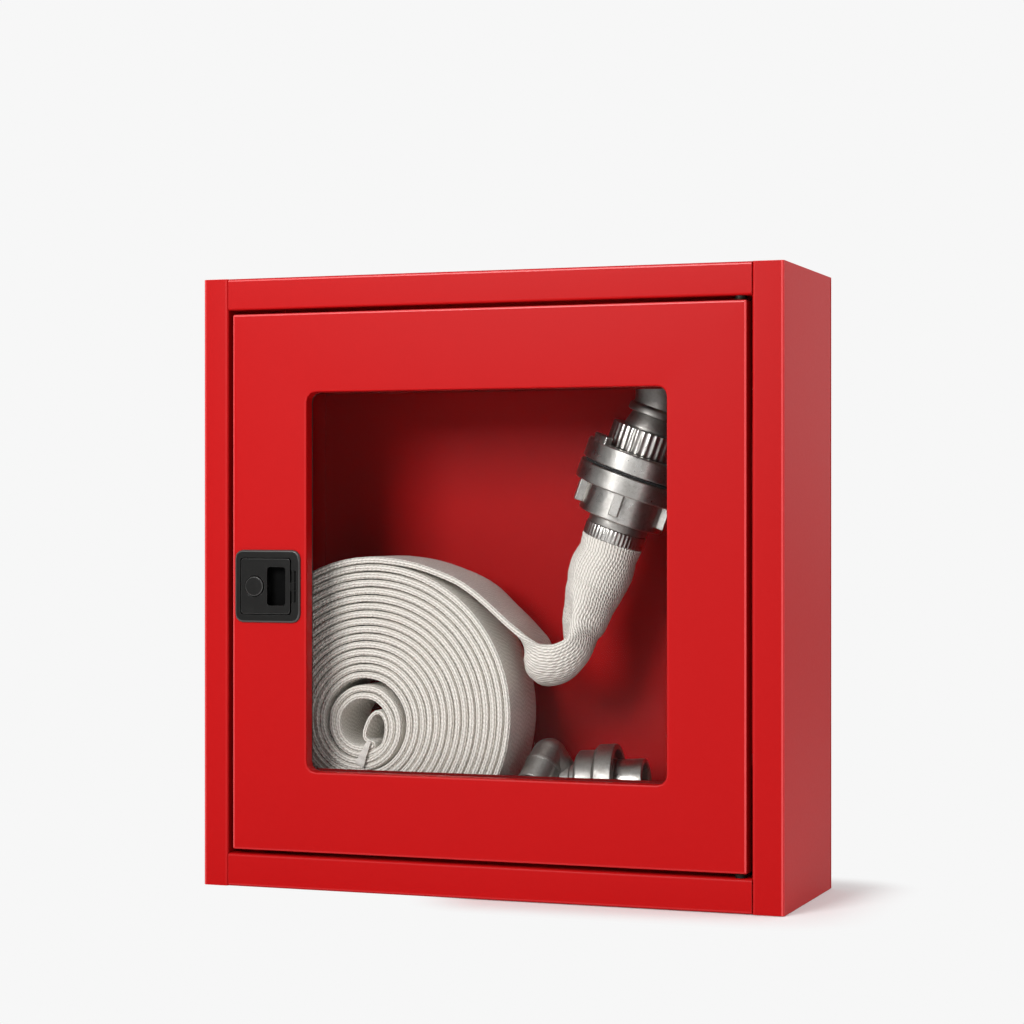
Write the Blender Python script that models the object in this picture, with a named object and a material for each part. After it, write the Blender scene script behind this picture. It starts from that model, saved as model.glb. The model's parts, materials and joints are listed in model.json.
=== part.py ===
"""Standpipe cabinet: a red steel wall case with a glazed door, an angle valve and a rolled lay-flat hose.

Metres, +Z up. The front faces -Y, the hinge side is +X, and the origin is the middle of the underside.
"""
import math

import bmesh
import bpy
from mathutils import Matrix, Vector

# Case
CASE_WIDTH = 0.640
CASE_HEIGHT = 0.650
CASE_DEPTH = 0.205
SHEET = 0.0015
BEND_RADIUS = 0.003
FIT = 0.0003
LATCH_STILE = 0.029
HINGE_STILE = 0.033
TOP_RAIL = 0.0337
BOTTOM_RAIL = 0.0352
LIP_DEPTH = 0.018
LATCH_REAR_FLANGE = 0.052
HINGE_REAR_FLANGE = 0.024
RAIL_REAR_FLANGE = 0.018
FLOOR_HEIGHT = 0.030
FLOOR_CLEARANCE = 0.003
FIXING_HOLE_RADIUS = 0.0045
FIXING_INSET_X = 0.090
FIXING_INSET_Z = 0.070

# Door
DOOR_SIDE_GAP = 0.0052
DOOR_END_GAP = 0.0044
DOOR_DEPTH = 0.020
DOOR_EDGE_RADIUS = 0.0025
DOOR_CORNER_RADIUS = 0.002
LATCH_MARGIN = 0.087
HINGE_MARGIN = 0.0835
TOP_MARGIN = 0.0847
BOTTOM_MARGIN = 0.0858
WINDOW_CORNER = 0.010
WINDOW_RETURN = 0.014
PANE_LAP = 0.008
PANE_THICKNESS = 0.004
GASKET_THICKNESS = 0.002
STRIP_FOOT = 0.012
STRIP_LIP = 0.010
HINGE_INSET = 0.008
HINGE_PIN_RADIUS = 0.004
HINGE_PIN_HEAD = 0.006
HINGE_HEAD_THICKNESS = 0.0025
HINGE_PIN_REACH = 0.010
BUSH_WALL = 0.0014
BUSH_FLANGE_RADIUS = 0.0072
BUSH_FLANGE_THICKNESS = 0.0013
BUSH_CLEARANCE = 0.0003

# Door stops and lock keeper
BRACKET_LEG = 0.016
STOP_HEIGHT = 0.024
STOP_INSET = 0.080
STOP_REACH = 0.013
KEEPER_HEIGHT = 0.044
KEEPER_CLEARANCE = 0.0008

# Latch
LATCH_SHIFT = -0.00125
LATCH_DROP = 0.0044
BEZEL_WIDTH = 0.0763
BEZEL_HEIGHT = 0.0774
BEZEL_CORNER = 0.009
BEZEL_PROUD = 0.0025
BEZEL_LAP = 0.004
DISH_DEPTH = 0.0132
DISH_FLOOR = 0.002
FLAP_WIDTH = 0.057
FLAP_HEIGHT = 0.0588
FLAP_CORNER = 0.003
FLAP_THICKNESS = 0.003
FLAP_GROOVE = 0.001
FLAP_HINGE_GROOVE = 0.002
FLAP_SHIFT = -0.0022
KNUCKLE_RADIUS = 0.0026
KNUCKLE_REACH = 0.0036
KNUCKLE_HEIGHT = 0.0115
TAB_HEIGHT = 0.0085
KNUCKLE_GAP = 0.0006
FLAP_PIN_RADIUS = 0.001
FINGER_WIDTH = 0.0217
FINGER_HEIGHT = 0.0413
FINGER_INSET = 0.005
KNOB_RADIUS = 0.0105
KNOB_CLEARANCE = 0.001
KNOB_PROUD = 0.001
KNOB_INSET = 0.0157
BARREL_RADIUS = 0.0077
BARREL_FLANGE_RADIUS = 0.0098
BARREL_FLANGE_THICKNESS = 0.0022
BARREL_LENGTH = 0.012
BARREL_NUT_FLATS = 0.022
BARREL_NUT_THICKNESS = 0.0046
LOCK_SHAFT_RADIUS = 0.005
CAM_WIDTH = 0.014
CAM_REACH = 0.046
CAM_THICKNESS = 0.0025
CAM_SCREW_HEAD = 0.0062
CAM_SCREW_RADIUS = 0.0022
CAM_SCREW_LENGTH = 0.009

# Coupling between valve and hose, stacked along one tilted axis from its foot
FOOT_FROM_HINGE_SIDE = 0.2137
FOOT_FROM_TOP = 0.2799
FOOT_SETBACK = 0.0075
COUPLING_TILT = math.radians(20.0)
VIEWER_SIDE = Vector((0.345, -0.939, 0.0))
BORE_RADIUS = 0.022
SPIGOT_RADIUS = 0.028
FERRULE_SEAT = 0.029
FERRULE_RADIUS = 0.033
FERRULE_LENGTH = 0.014
COLLAR_RADIUS = 0.032
COLLAR_LENGTH = 0.009
HUB_RADIUS = 0.046
HUB_LENGTH = 0.031
LUG_COUNT = 5
LUG_FIRST = math.radians(-12.0)
LUG_WIDTH = 0.010
LUG_LENGTH = 0.024
LUG_PROUD = 0.008
RING_RADIUS = 0.060
RING_LENGTH = 0.020
SEAL_RADIUS = 0.055
SEAL_THICKNESS = 0.0024
UPPER_RING_RADIUS = 0.059
UPPER_RING_LENGTH = 0.0205
CLAW_ANGLE = math.radians(-58.0)
CLAW_SPAN = math.radians(24.0)
CLAW_DEPTH = 0.010
CLAW_RISE = 0.008
NUT_RADIUS = 0.0405
NUT_LENGTH = 0.0251
NUT_FLUTES = 36
FLUTE_DEPTH = 0.0012
CONE_FOOT_RADIUS = 0.029
CONE_TOP_RADIUS = 0.0246
CONE_LENGTH = 0.0155
BEAD_RADIUS = 0.0305
BEAD_LENGTH = 0.010
ELBOW_RADIUS = 0.027
ELBOW_BEND = 0.040

# Valve
VALVE_REACH = 0.042
OUTLET_RADIUS = 0.030
INLET_RADIUS = 0.030
INLET_BORE = 0.024
SEAT_RADIUS = 0.018
CHAMBER_RADIUS = 0.030
CHAMBER_WALL = 0.007
SEAT_OFFSET = 0.022
SEAT_LENGTH = 0.010
BODY_FRONT = 0.040
BONNET_RADIUS = 0.038
BONNET_FLANGE = 0.007
BONNET_NECK_RADIUS = 0.016
BONNET_NECK = 0.016
GLAND_FLATS = 0.024
GLAND_LENGTH = 0.0055
STEM_RADIUS = 0.006
STEM_TIP_RADIUS = 0.004
STEM_TIP_LENGTH = 0.0065
STEM_END = 0.006
WHEEL_GAP = 0.002
WHEEL_RADIUS = 0.036
WHEEL_RIM = 0.006
WHEEL_HUB_RADIUS = 0.012
WHEEL_SPOKES = 4
SPOKE_RADIUS = 0.0038
WHEEL_NUT_FLATS = 0.013
WHEEL_NUT_LENGTH = 0.005
DISC_RADIUS = 0.024
DISC_THICKNESS = 0.008
DISC_HUB_RADIUS = 0.011
DISC_HUB_LENGTH = 0.024
DISC_CROWN = 0.0012
GROMMET_WALL = 0.0024
GROMMET_FLANGE = 0.005
GROMMET_FLANGE_THICKNESS = 0.003

# Hose roll: a hose folded in half, so two strands wind outward together from the fold
HOSE_WIDTH = 0.085
HOSE_THICKNESS = 0.0058
LAYER_PITCH = 0.0075
EYE_RADIUS = 0.024
EYE_SHIFT = Vector((-0.005, 0.0, -0.015))
ROLL_X = -0.151
FOLD_ANGLE = math.radians(306.0)
WHOLE_TURNS = 8
POINTS_PER_TURN = 24
LEAD_JOIN_STEP = 10
LEAD_LEAVE_STEP = 15
RUN_JOIN_STEP = 14
RUN_LEAVE_STEP = 22
TIE_WIDTH = 0.006
TIE_LENGTH = 0.030
TIE_THICKNESS = 0.0008
TIE_ANGLE = math.radians(28.0)
TIE_PLACE = Vector((-0.004, 0.0, -0.026))

# Free stretches of hose: centre, direction of the flat width, half width and half thickness
LEAD_ROUTE = (
    (Vector((-0.0835, 0.0000, 0.3407)), Vector((0.00, -1.00, 0.00)), 0.0425, 0.0029),
    (Vector((-0.0520, 0.0000, 0.3254)), Vector((0.00, -1.00, 0.00)), 0.0425, 0.0029),
    (Vector((-0.0312, 0.0000, 0.3109)), Vector((0.00, -1.00, 0.00)), 0.0425, 0.0029),
    (Vector((-0.0122, 0.0000, 0.2955)), Vector((0.00, -1.00, 0.00)), 0.0425, 0.0029),
    (Vector((0.0046, -0.0003, 0.2815)), Vector((0.01, -1.00, 0.05)), 0.0425, 0.0030),
    (Vector((0.0180, -0.0010, 0.2640)), Vector((0.06, -0.97, 0.20)), 0.0425, 0.0032),
    (Vector((0.0295, -0.0030, 0.2470)), Vector((0.20, -0.88, 0.40)), 0.0425, 0.0034),
    (Vector((0.0430, -0.0035, 0.2393)), Vector((0.29, -0.83, 0.47)), 0.0425, 0.0036),
)
# Rise of the lead: shares of the way from the end of its route to the coupling, then as above
LEAD_RISE = (
    (Vector((0.218, 0.000, 0.031)), Vector((0.31, -0.83, 0.47)), 0.0425, 0.0040),
    (Vector((0.411, 0.045, 0.128)), Vector((0.40, -0.79, 0.43)), 0.0422, 0.0050),
    (Vector((0.525, 0.182, 0.269)), Vector((0.62, -0.66, 0.36)), 0.0416, 0.0070),
    (Vector((0.613, 0.364, 0.430)), Vector((0.80, -0.50, 0.26)), 0.0405, 0.0115),
    (Vector((0.727, 0.636, 0.617)), Vector((0.92, -0.32, 0.12)), 0.0385, 0.0190),
)
RUN_ROUTE = (
    (Vector((-0.0085, 0.000, 0.1040)), Vector((0.00, -1.00, 0.00)), 0.0425, 0.0029),
    (Vector((-0.0020, 0.000, 0.0800)), Vector((0.00, -1.00, 0.00)), 0.0425, 0.0029),
    (Vector((0.0200, 0.000, 0.0600)), Vector((0.00, -1.00, 0.00)), 0.0425, 0.0029),
    (Vector((0.0540, 0.000, 0.0455)), Vector((0.00, -1.00, 0.00)), 0.0425, 0.0029),
    (Vector((0.0880, 0.000, 0.0385)), Vector((0.00, -1.00, 0.00)), 0.0425, 0.0032),
    (Vector((0.1160, 0.000, 0.0425)), Vector((0.00, -1.00, 0.00)), 0.0420, 0.0055),
    (Vector((0.1400, 0.000, 0.0520)), Vector((0.00, -1.00, 0.00)), 0.0400, 0.0100),
    (Vector((0.1640, 0.000, 0.0690)), Vector((0.00, -1.00, 0.00)), 0.0370, 0.0180),
)
HOSE_END_RADIUS = 0.033
HOSE_END_STRAIGHT = 0.014
HOSE_SIDES = 12
END_COUPLING_X = 0.196

# Loose branch fittings on their bracket
BRANCH_AXIS = Vector((0.9936, 0.0957, 0.0600))
BRANCH_ORIGIN = Vector((0.0735, -0.0030, 0.1090))
NECK_RADIUS = 0.0275
NECK_LENGTH = 0.0195
BRANCH_RING_RADIUS = 0.039
BRANCH_RING_LENGTH = 0.021
BRANCH_LOCK_RADIUS = 0.0445
BRANCH_LOCK_LENGTH = 0.0215
BRANCH_TAIL_RADIUS = 0.028
BRANCH_TAIL_LENGTH = 0.029
BRANCH_BORE = 0.022
BRANCH_ELBOW_RADIUS = 0.0192
BRANCH_ELBOW_BORE = 0.0150
BRANCH_MOUTH = Vector((0.0396, -0.0416, 0.1122))
BRANCH_CORNER = Vector((0.0445, -0.0120, 0.1415))
BRANCH_BEAD_RADIUS = 0.0204
BRANCH_BEAD_LENGTH = 0.0035
BRANCH_BEAD_PLACE = 0.025
BRACKET_WIDTH = 0.030
BRACKET_SHEET = 0.003
BRACKET_PLATE = 0.040
BRACKET_LIP = 0.012

# Facets
SPIN_STEPS = 32
FINE_SPIN_STEPS = 20
BEND_STEPS = 3
CORNER_STEPS = 3
ELBOW_STEPS = 7
OVERCUT = 0.002
MERGE_DISTANCE = 0.000001
SHARP_ANGLE = math.radians(30.0)

# Places worked out from the sizes above
HALF_WIDTH = CASE_WIDTH / 2
FRONT = -CASE_DEPTH / 2
BACK = CASE_DEPTH / 2
STILE_LEFT = -HALF_WIDTH + LATCH_STILE
STILE_RIGHT = HALF_WIDTH - HINGE_STILE
LIP_END = FRONT + LIP_DEPTH
FLANGE_REAR = BACK - SHEET - FIT
DOOR_LEFT = STILE_LEFT + DOOR_SIDE_GAP
DOOR_RIGHT = STILE_RIGHT - DOOR_SIDE_GAP
DOOR_BOTTOM = BOTTOM_RAIL + DOOR_END_GAP
DOOR_TOP = CASE_HEIGHT - TOP_RAIL - DOOR_END_GAP
DOOR_REAR = FRONT + DOOR_DEPTH
WINDOW_LEFT = DOOR_LEFT + LATCH_MARGIN
WINDOW_RIGHT = DOOR_RIGHT - HINGE_MARGIN
WINDOW_BOTTOM = DOOR_BOTTOM + BOTTOM_MARGIN
WINDOW_TOP = DOOR_TOP - TOP_MARGIN
PANE_FRONT = FRONT + WINDOW_RETURN + FIT + GASKET_THICKNESS + FIT
PANE_REAR = PANE_FRONT + PANE_THICKNESS
HINGE_X = DOOR_RIGHT - HINGE_INSET
HINGE_Y = FRONT + HINGE_INSET
LATCH_X = DOOR_LEFT + LATCH_MARGIN / 2 + LATCH_SHIFT
LATCH_Z = (DOOR_BOTTOM + DOOR_TOP) / 2 - LATCH_DROP
FLAP_X = LATCH_X + FLAP_SHIFT
FLAP_AXIS_X = FLAP_X + FLAP_WIDTH / 2 + KNUCKLE_REACH
BEZEL_FRONT = FRONT - FIT - BEZEL_PROUD
FLAP_FRONT = BEZEL_FRONT + FIT
FLAP_AXIS_Y = BEZEL_FRONT + FIT + KNUCKLE_RADIUS
KNOB_X = FLAP_X - FLAP_WIDTH / 2 + KNOB_INSET
DISH_REAR = FRONT + DISH_DEPTH
BARREL_REAR = max(DISH_REAR + BARREL_LENGTH, DOOR_REAR) - FIT
CAM_FRONT = BARREL_REAR + FIT
FLOOR_TOP = FLOOR_HEIGHT
COUPLING_AXIS = Vector((math.sin(COUPLING_TILT), 0.0, math.cos(COUPLING_TILT)))
COUPLING_FOOT = Vector((HALF_WIDTH - FOOT_FROM_HINGE_SIDE, FOOT_SETBACK, CASE_HEIGHT - FOOT_FROM_TOP))


def clear_scene():
    """Removes whatever the scene holds."""
    for item in list(bpy.data.objects):
        bpy.data.objects.remove(item, do_unlink=True)


def finish(name, colour, roughness, metallic=0.0):
    """Makes a plain material from a colour, a roughness and a metallic value."""
    made = bpy.data.materials.new(name)
    made.use_nodes = True
    shader = made.node_tree.nodes["Principled BSDF"]
    shader.inputs["Base Color"].default_value = (*colour, 1.0)
    shader.inputs["Roughness"].default_value = roughness
    shader.inputs["Metallic"].default_value = metallic
    return made


def make_finishes():
    """Returns the finishes by name."""
    return {
        "paint": finish("red_paint", (0.62, 0.03, 0.03), 0.38),
        "plastic": finish("black_plastic", (0.03, 0.03, 0.03), 0.45),
        "glass": finish("clear_pane", (0.90, 0.92, 0.92), 0.05),
        "rubber": finish("black_rubber", (0.02, 0.02, 0.02), 0.80),
        "steel": finish("zinc_steel", (0.55, 0.55, 0.55), 0.35, 1.0),
        "alloy": finish("cast_alloy", (0.42, 0.40, 0.37), 0.42, 1.0),
        "brass": finish("brass", (0.66, 0.50, 0.25), 0.38, 1.0),
        "wheel": finish("wheel_paint", (0.45, 0.03, 0.03), 0.50),
        "hose": finish("woven_hose", (0.74, 0.70, 0.64), 0.85),
    }


def make_object(name, mesh_data, material=None):
    """Turns a bmesh into a named object with clean outward faces and smooth round sides."""
    bmesh.ops.remove_doubles(mesh_data, verts=mesh_data.verts, dist=MERGE_DISTANCE)
    bmesh.ops.recalc_face_normals(mesh_data, faces=mesh_data.faces)
    mesh = bpy.data.meshes.new(name)
    mesh_data.to_mesh(mesh)
    mesh_data.free()
    mesh.shade_smooth()
    mesh.set_sharp_from_angle(angle=SHARP_ANGLE)
    made = bpy.data.objects.new(name, mesh)
    bpy.context.scene.collection.objects.link(made)
    if material:
        mesh.materials.append(material)
    return made


def plain_faces(target):
    """Splits an object's faces into triangles, which keeps a row of cuts exact."""
    shape = bmesh.new()
    shape.from_mesh(target.data)
    bmesh.ops.triangulate(shape, faces=shape.faces)
    bmesh.ops.dissolve_degenerate(shape, edges=shape.edges, dist=MERGE_DISTANCE)
    shape.to_mesh(target.data)
    shape.free()


def combine(target, tool_mesh, operation):
    """Cuts or joins a tool shape into an object."""
    tool = make_object("tool", tool_mesh)
    plain_faces(target)
    step = target.modifiers.new("combine", "BOOLEAN")
    step.operation = operation
    step.solver = "EXACT"
    step.object = tool
    bpy.context.view_layer.update()
    evaluated = target.evaluated_get(bpy.context.evaluated_depsgraph_get())
    shaped = bpy.data.meshes.new_from_object(evaluated)
    target.modifiers.clear()
    plain = target.data
    target.data = shaped
    bpy.data.meshes.remove(plain)
    bpy.data.objects.remove(tool)
    shaped.name = target.name


def cut(target, tool_mesh):
    """Cuts a tool shape out of an object."""
    combine(target, tool_mesh, "DIFFERENCE")


def join(target, tool_mesh):
    """Joins a tool shape onto an object."""
    combine(target, tool_mesh, "UNION")


def hang_on_pivot(name, place, *pieces):
    """Parents pieces to an empty that stands on their joint's axis."""
    pivot = bpy.data.objects.new(name, None)
    pivot.location = place
    bpy.context.scene.collection.objects.link(pivot)
    for piece in pieces:
        piece.parent = pivot
        piece.matrix_parent_inverse = Matrix.Translation(place).inverted()
    return pivot


def axis_frame(origin, axis, side):
    """Returns the placement whose Z runs along an axis and whose X points to a side."""
    up = axis.normalized()
    across = (side - up * side.dot(up)).normalized()
    turn = Matrix((across, up.cross(across), up)).transposed()
    return Matrix.Translation(origin) @ turn.to_4x4()


def turned(profile, placement, steps=SPIN_STEPS, ring=True):
    """Spins a profile of radius and height; a ring profile closes on itself, a solid one ends on the axis."""
    shape = bmesh.new()
    points = [shape.verts.new((radius, 0.0, height)) for radius, height in profile]
    ends = points[1:] + points[:1] if ring else points[1:]
    edges = [shape.edges.new(pair) for pair in zip(points, ends)]
    bmesh.ops.spin(shape, geom=points + edges, cent=(0, 0, 0), axis=(0, 0, 1), angle=math.tau,
                   steps=steps, use_merge=True, use_duplicate=False)
    bmesh.ops.remove_doubles(shape, verts=shape.verts, dist=MERGE_DISTANCE)
    shape.transform(placement)
    return shape


def rod(start, end, radius, steps=SPIN_STEPS):
    """Returns a plain cylinder between two points."""
    axis = end - start
    side = Vector((0, 0, 1)) if abs(axis.normalized().z) < 0.9 else Vector((1, 0, 0))
    profile = ((0.0, 0.0), (radius, 0.0), (radius, axis.length), (0.0, axis.length))
    return turned(profile, axis_frame(start, axis, side), steps, ring=False)


def ball(centre, radius):
    """Returns a faceted ball."""
    shape = bmesh.new()
    bmesh.ops.create_uvsphere(shape, u_segments=FINE_SPIN_STEPS, v_segments=FINE_SPIN_STEPS // 2,
                              radius=radius, matrix=Matrix.Translation(centre))
    return shape


def box(low, high):
    """Returns a block between two corners."""
    shape = bmesh.new()
    middle = (low + high) / 2
    size = Matrix.Diagonal((*(high - low), 1.0))
    bmesh.ops.create_cube(shape, size=1.0, matrix=Matrix.Translation(middle) @ size)
    return shape


def gather(*shapes):
    """Puts separate shapes into one mesh, for a tool with several bodies."""
    whole = bmesh.new()
    for shape in shapes:
        mesh = bpy.data.meshes.new("gathered")
        bmesh.ops.recalc_face_normals(shape, faces=shape.faces)
        shape.to_mesh(mesh)
        shape.free()
        whole.from_mesh(mesh)
        bpy.data.meshes.remove(mesh)
    return whole


def prism(outline, origin, across, up, depth):
    """Extrudes a flat outline, given in the across and up directions, by a depth vector."""
    shape = bmesh.new()
    near = [origin + across * x + up * y for x, y in outline]
    far = [point + depth for point in near]
    return skin(shape, [near, far], closed=False)


def skin(shape, loops, closed):
    """Skins a row of point loops of equal count; a row that isn't closed gets flat ends."""
    rows = [[shape.verts.new(point) for point in loop] for loop in loops]
    nexts = rows[1:] + rows[:1] if closed else rows[1:]
    for row, after in zip(rows, nexts):
        for i in range(len(row)):
            j = (i + 1) % len(row)
            shape.faces.new((row[i], row[j], after[j], after[i]))
    if not closed:
        shape.faces.new(rows[0])
        shape.faces.new(rows[-1])
    return shape


def folded(path, side, sheet=SHEET, radius=BEND_RADIUS):
    """Outlines a folded sheet from the corners of one face; side is 1 for material to the left, -1 to the right."""
    path = [Vector(point) for point in path]
    face, other = [], []

    def left_of(direction):
        return Vector((-direction.y, direction.x))

    first = (path[1] - path[0]).normalized()
    face.append(path[0])
    other.append(path[0] + left_of(first) * side * sheet)
    for before, corner, after in zip(path, path[1:], path[2:]):
        into, out = (corner - before).normalized(), (after - corner).normalized()
        angle = math.atan2(into.x * out.y - into.y * out.x, into.dot(out))
        turn = 1 if angle > 0 else -1
        near = radius if turn == side else radius - sheet
        far = radius - sheet if turn == side else radius
        start = corner - into * near * math.tan(abs(angle) / 2)
        centre = start + left_of(into) * turn * near
        for step in range(BEND_STEPS + 1):
            spoke = Matrix.Rotation(angle * step / BEND_STEPS, 2) @ (start - centre)
            face.append(centre + spoke)
            other.append(centre + spoke * far / near)
    last = (path[-1] - path[-2]).normalized()
    face.append(path[-1])
    other.append(path[-1] + left_of(last) * side * sheet)
    return face + other[::-1]


def window_loop(left, right, bottom, top, corner, y):
    """Returns a rounded rectangle in the plane of the door, at one depth."""
    corner = max(corner, FIT)
    points = []
    corners = ((right, top, 0), (left, top, 1), (left, bottom, 2), (right, bottom, 3))
    for x, z, quarter in corners:
        centre_x = x - corner if quarter in (0, 3) else x + corner
        centre_z = z - corner if quarter in (0, 1) else z + corner
        for step in range(CORNER_STEPS + 1):
            angle = math.pi / 2 * (quarter + step / CORNER_STEPS)
            points.append(Vector((centre_x + corner * math.cos(angle), y, centre_z + corner * math.sin(angle))))
    return points


def plate(left, right, bottom, top, corner, near, far):
    """Returns a plate parallel to the door, between two depths."""
    loops = [window_loop(left, right, bottom, top, corner, y) for y in (near, far)]
    return skin(bmesh.new(), loops, closed=False)


def centred_plate(x, z, width, height, corner, near, far):
    """Returns a plate parallel to the door round a centre."""
    return plate(x - width / 2, x + width / 2, z - height / 2, z + height / 2, corner, near, far)


def hexagon(flats):
    """Returns the outline of a hexagon by its width across flats."""
    reach = flats / math.sqrt(3)
    return [(reach * math.cos(math.tau * i / 6), reach * math.sin(math.tau * i / 6)) for i in range(6)]


def hex_nut(name, flats, bore, placement, length, material):
    """Makes a hexagonal nut along the placement's Z."""
    near = [Vector((x, y, 0.0)) for x, y in hexagon(flats)]
    far = [point + Vector((0, 0, length)) for point in near]
    shape = skin(bmesh.new(), [near, far], closed=False)
    shape.transform(placement)
    nut = make_object(name, shape, material)
    start = placement @ Vector((0, 0, -OVERCUT))
    end = placement @ Vector((0, 0, length + OVERCUT))
    cut(nut, rod(start, end, bore, FINE_SPIN_STEPS))
    return nut


def along_front(x, z):
    """Returns the placement whose Z runs into the case at a point of the front."""
    return axis_frame(Vector((x, 0.0, z)), Vector((0, 1, 0)), Vector((0, 0, 1)))


def upright(x, y):
    """Returns the placement whose Z stands upright at a point of the plan."""
    return axis_frame(Vector((x, y, 0.0)), Vector((0, 0, 1)), Vector((1, 0, 0)))


def build_side_panels(paint):
    """Makes the two folded sides with their stiles, lips and rear flanges."""
    up = Vector((0, 0, CASE_HEIGHT))
    x_axis, y_axis = Vector((1, 0, 0)), Vector((0, 1, 0))
    for name, mirror, stile, flange in (("left_side_panel", 1, LATCH_STILE, LATCH_REAR_FLANGE),
                                        ("right_side_panel", -1, HINGE_STILE, HINGE_REAR_FLANGE)):
        path = ((-HALF_WIDTH + stile, LIP_END), (-HALF_WIDTH + stile, FRONT), (-HALF_WIDTH, FRONT),
                (-HALF_WIDTH, FLANGE_REAR), (-HALF_WIDTH + flange, FLANGE_REAR))
        outline = [(x * mirror, y) for x, y in folded(path, -1)]
        make_object(name, prism(outline, Vector((0, 0, 0)), x_axis, y_axis, up), paint)


def build_rail_panel(name, rail_edge, face, into, paint):
    """Makes the top or bottom of the case with its front rail, lip and rear flange."""
    inner = HALF_WIDTH - SHEET - FIT
    path = ((LIP_END, rail_edge), (FRONT, rail_edge), (FRONT, face), (FLANGE_REAR, face),
            (FLANGE_REAR, face + into * RAIL_REAR_FLANGE))
    outline = folded(path, into)
    panel = make_object(name, prism(outline, Vector((-inner, 0, 0)), Vector((0, 1, 0)), Vector((0, 0, 1)),
                                    Vector((2 * inner, 0, 0))), paint)
    low = min(rail_edge, face) - TOP_RAIL
    high = max(rail_edge, face) + TOP_RAIL
    tongue = face + into * SHEET * 0.9
    rail_low, rail_high = (low, tongue) if into < 0 else (tongue, high)
    notch_end = LIP_END + FIT
    bend_end = FRONT + BEND_RADIUS + FIT
    lip_bend = BEND_RADIUS + FIT
    flange_front = FLANGE_REAR - BEND_RADIUS - FIT
    outside = HALF_WIDTH + OVERCUT
    ahead = FRONT - OVERCUT
    left_edge, right_edge = STILE_LEFT + FIT, STILE_RIGHT - FIT
    for near, far in (((-outside, ahead, rail_low), (left_edge, notch_end, rail_high)),
                      ((right_edge, ahead, rail_low), (outside, notch_end, rail_high)),
                      ((-outside, ahead, low), (left_edge, bend_end, high)),
                      ((right_edge, ahead, low), (outside, bend_end, high)),
                      ((STILE_LEFT - lip_bend, ahead, low), (left_edge, notch_end, high)),
                      ((right_edge, ahead, low), (STILE_RIGHT + lip_bend, notch_end, high)),
                      ((-outside, flange_front, low),
                       (-HALF_WIDTH + LATCH_REAR_FLANGE + FIT, BACK + OVERCUT, high)),
                      ((HALF_WIDTH - HINGE_REAR_FLANGE - FIT, flange_front, low),
                       (outside, BACK + OVERCUT, high))):
        cut(panel, box(Vector(near), Vector(far)))
    pin_hole = HINGE_PIN_RADIUS + BUSH_CLEARANCE
    cut(panel, rod(Vector((HINGE_X, HINGE_Y, rail_edge - BEND_RADIUS)),
                   Vector((HINGE_X, HINGE_Y, rail_edge + BEND_RADIUS)), pin_hole, FINE_SPIN_STEPS))


def build_back_panel(paint, inlet_x, inlet_z):
    """Makes the back sheet with four wall fixing holes and the pipe hole."""
    sheet = make_object("back_panel", box(Vector((-HALF_WIDTH, BACK - SHEET, 0.0)),
                                          Vector((HALF_WIDTH, BACK, CASE_HEIGHT))), paint)
    holes = [rod(Vector((inlet_x, BACK - SHEET - OVERCUT, inlet_z)), Vector((inlet_x, BACK + OVERCUT, inlet_z)),
                 INLET_RADIUS + GROMMET_WALL + 2 * FIT)]
    for x in (-HALF_WIDTH + FIXING_INSET_X, HALF_WIDTH - FIXING_INSET_X):
        for z in (FIXING_INSET_Z, CASE_HEIGHT - FIXING_INSET_Z / 2):
            holes.append(rod(Vector((x, BACK - SHEET - OVERCUT, z)), Vector((x, BACK + OVERCUT, z)),
                             FIXING_HOLE_RADIUS, FINE_SPIN_STEPS))
    cut(sheet, gather(*holes))


def build_floor_shelf(paint):
    """Makes the raised floor that the hose roll rests on."""
    near, far = LIP_END + FLOOR_CLEARANCE, FLANGE_REAR - SHEET - FLOOR_CLEARANCE
    foot = SHEET + FIT
    path = ((near, foot), (near, FLOOR_TOP), (far, FLOOR_TOP), (far, foot))
    inner = HALF_WIDTH - SHEET - FIT
    make_object("floor_shelf", prism(folded(path, -1), Vector((-inner, 0, 0)), Vector((0, 1, 0)),
                                     Vector((0, 0, 1)), Vector((2 * inner, 0, 0))), paint)


def build_stop_brackets(paint):
    """Makes the door stops and the lock keeper behind the lip of the latch stile."""
    lip_inside = STILE_LEFT - SHEET - FIT
    start = FRONT + SHEET + FIT
    door_middle = (DOOR_BOTTOM + DOOR_TOP) / 2
    stop_rear = DOOR_REAR + FIT + SHEET
    stop_path = ((lip_inside - BRACKET_LEG, start), (lip_inside, start), (lip_inside, stop_rear),
                 (lip_inside + STOP_REACH, stop_rear))
    keeper_path = ((lip_inside - BRACKET_LEG, start), (lip_inside, start), (lip_inside, CAM_FRONT - KEEPER_CLEARANCE))
    half_span = (DOOR_TOP - DOOR_BOTTOM) / 2 - STOP_INSET
    for name, path, z, height in (
            ("door_stop_upper", stop_path, door_middle + half_span, STOP_HEIGHT),
            ("door_stop_lower", stop_path, door_middle - half_span, STOP_HEIGHT),
            ("cam_keeper", keeper_path, LATCH_Z, KEEPER_HEIGHT)):
        make_object(name, prism(folded(path, 1), Vector((0, 0, z - height / 2)), Vector((1, 0, 0)),
                                Vector((0, 1, 0)), Vector((0, 0, height))), paint)


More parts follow.
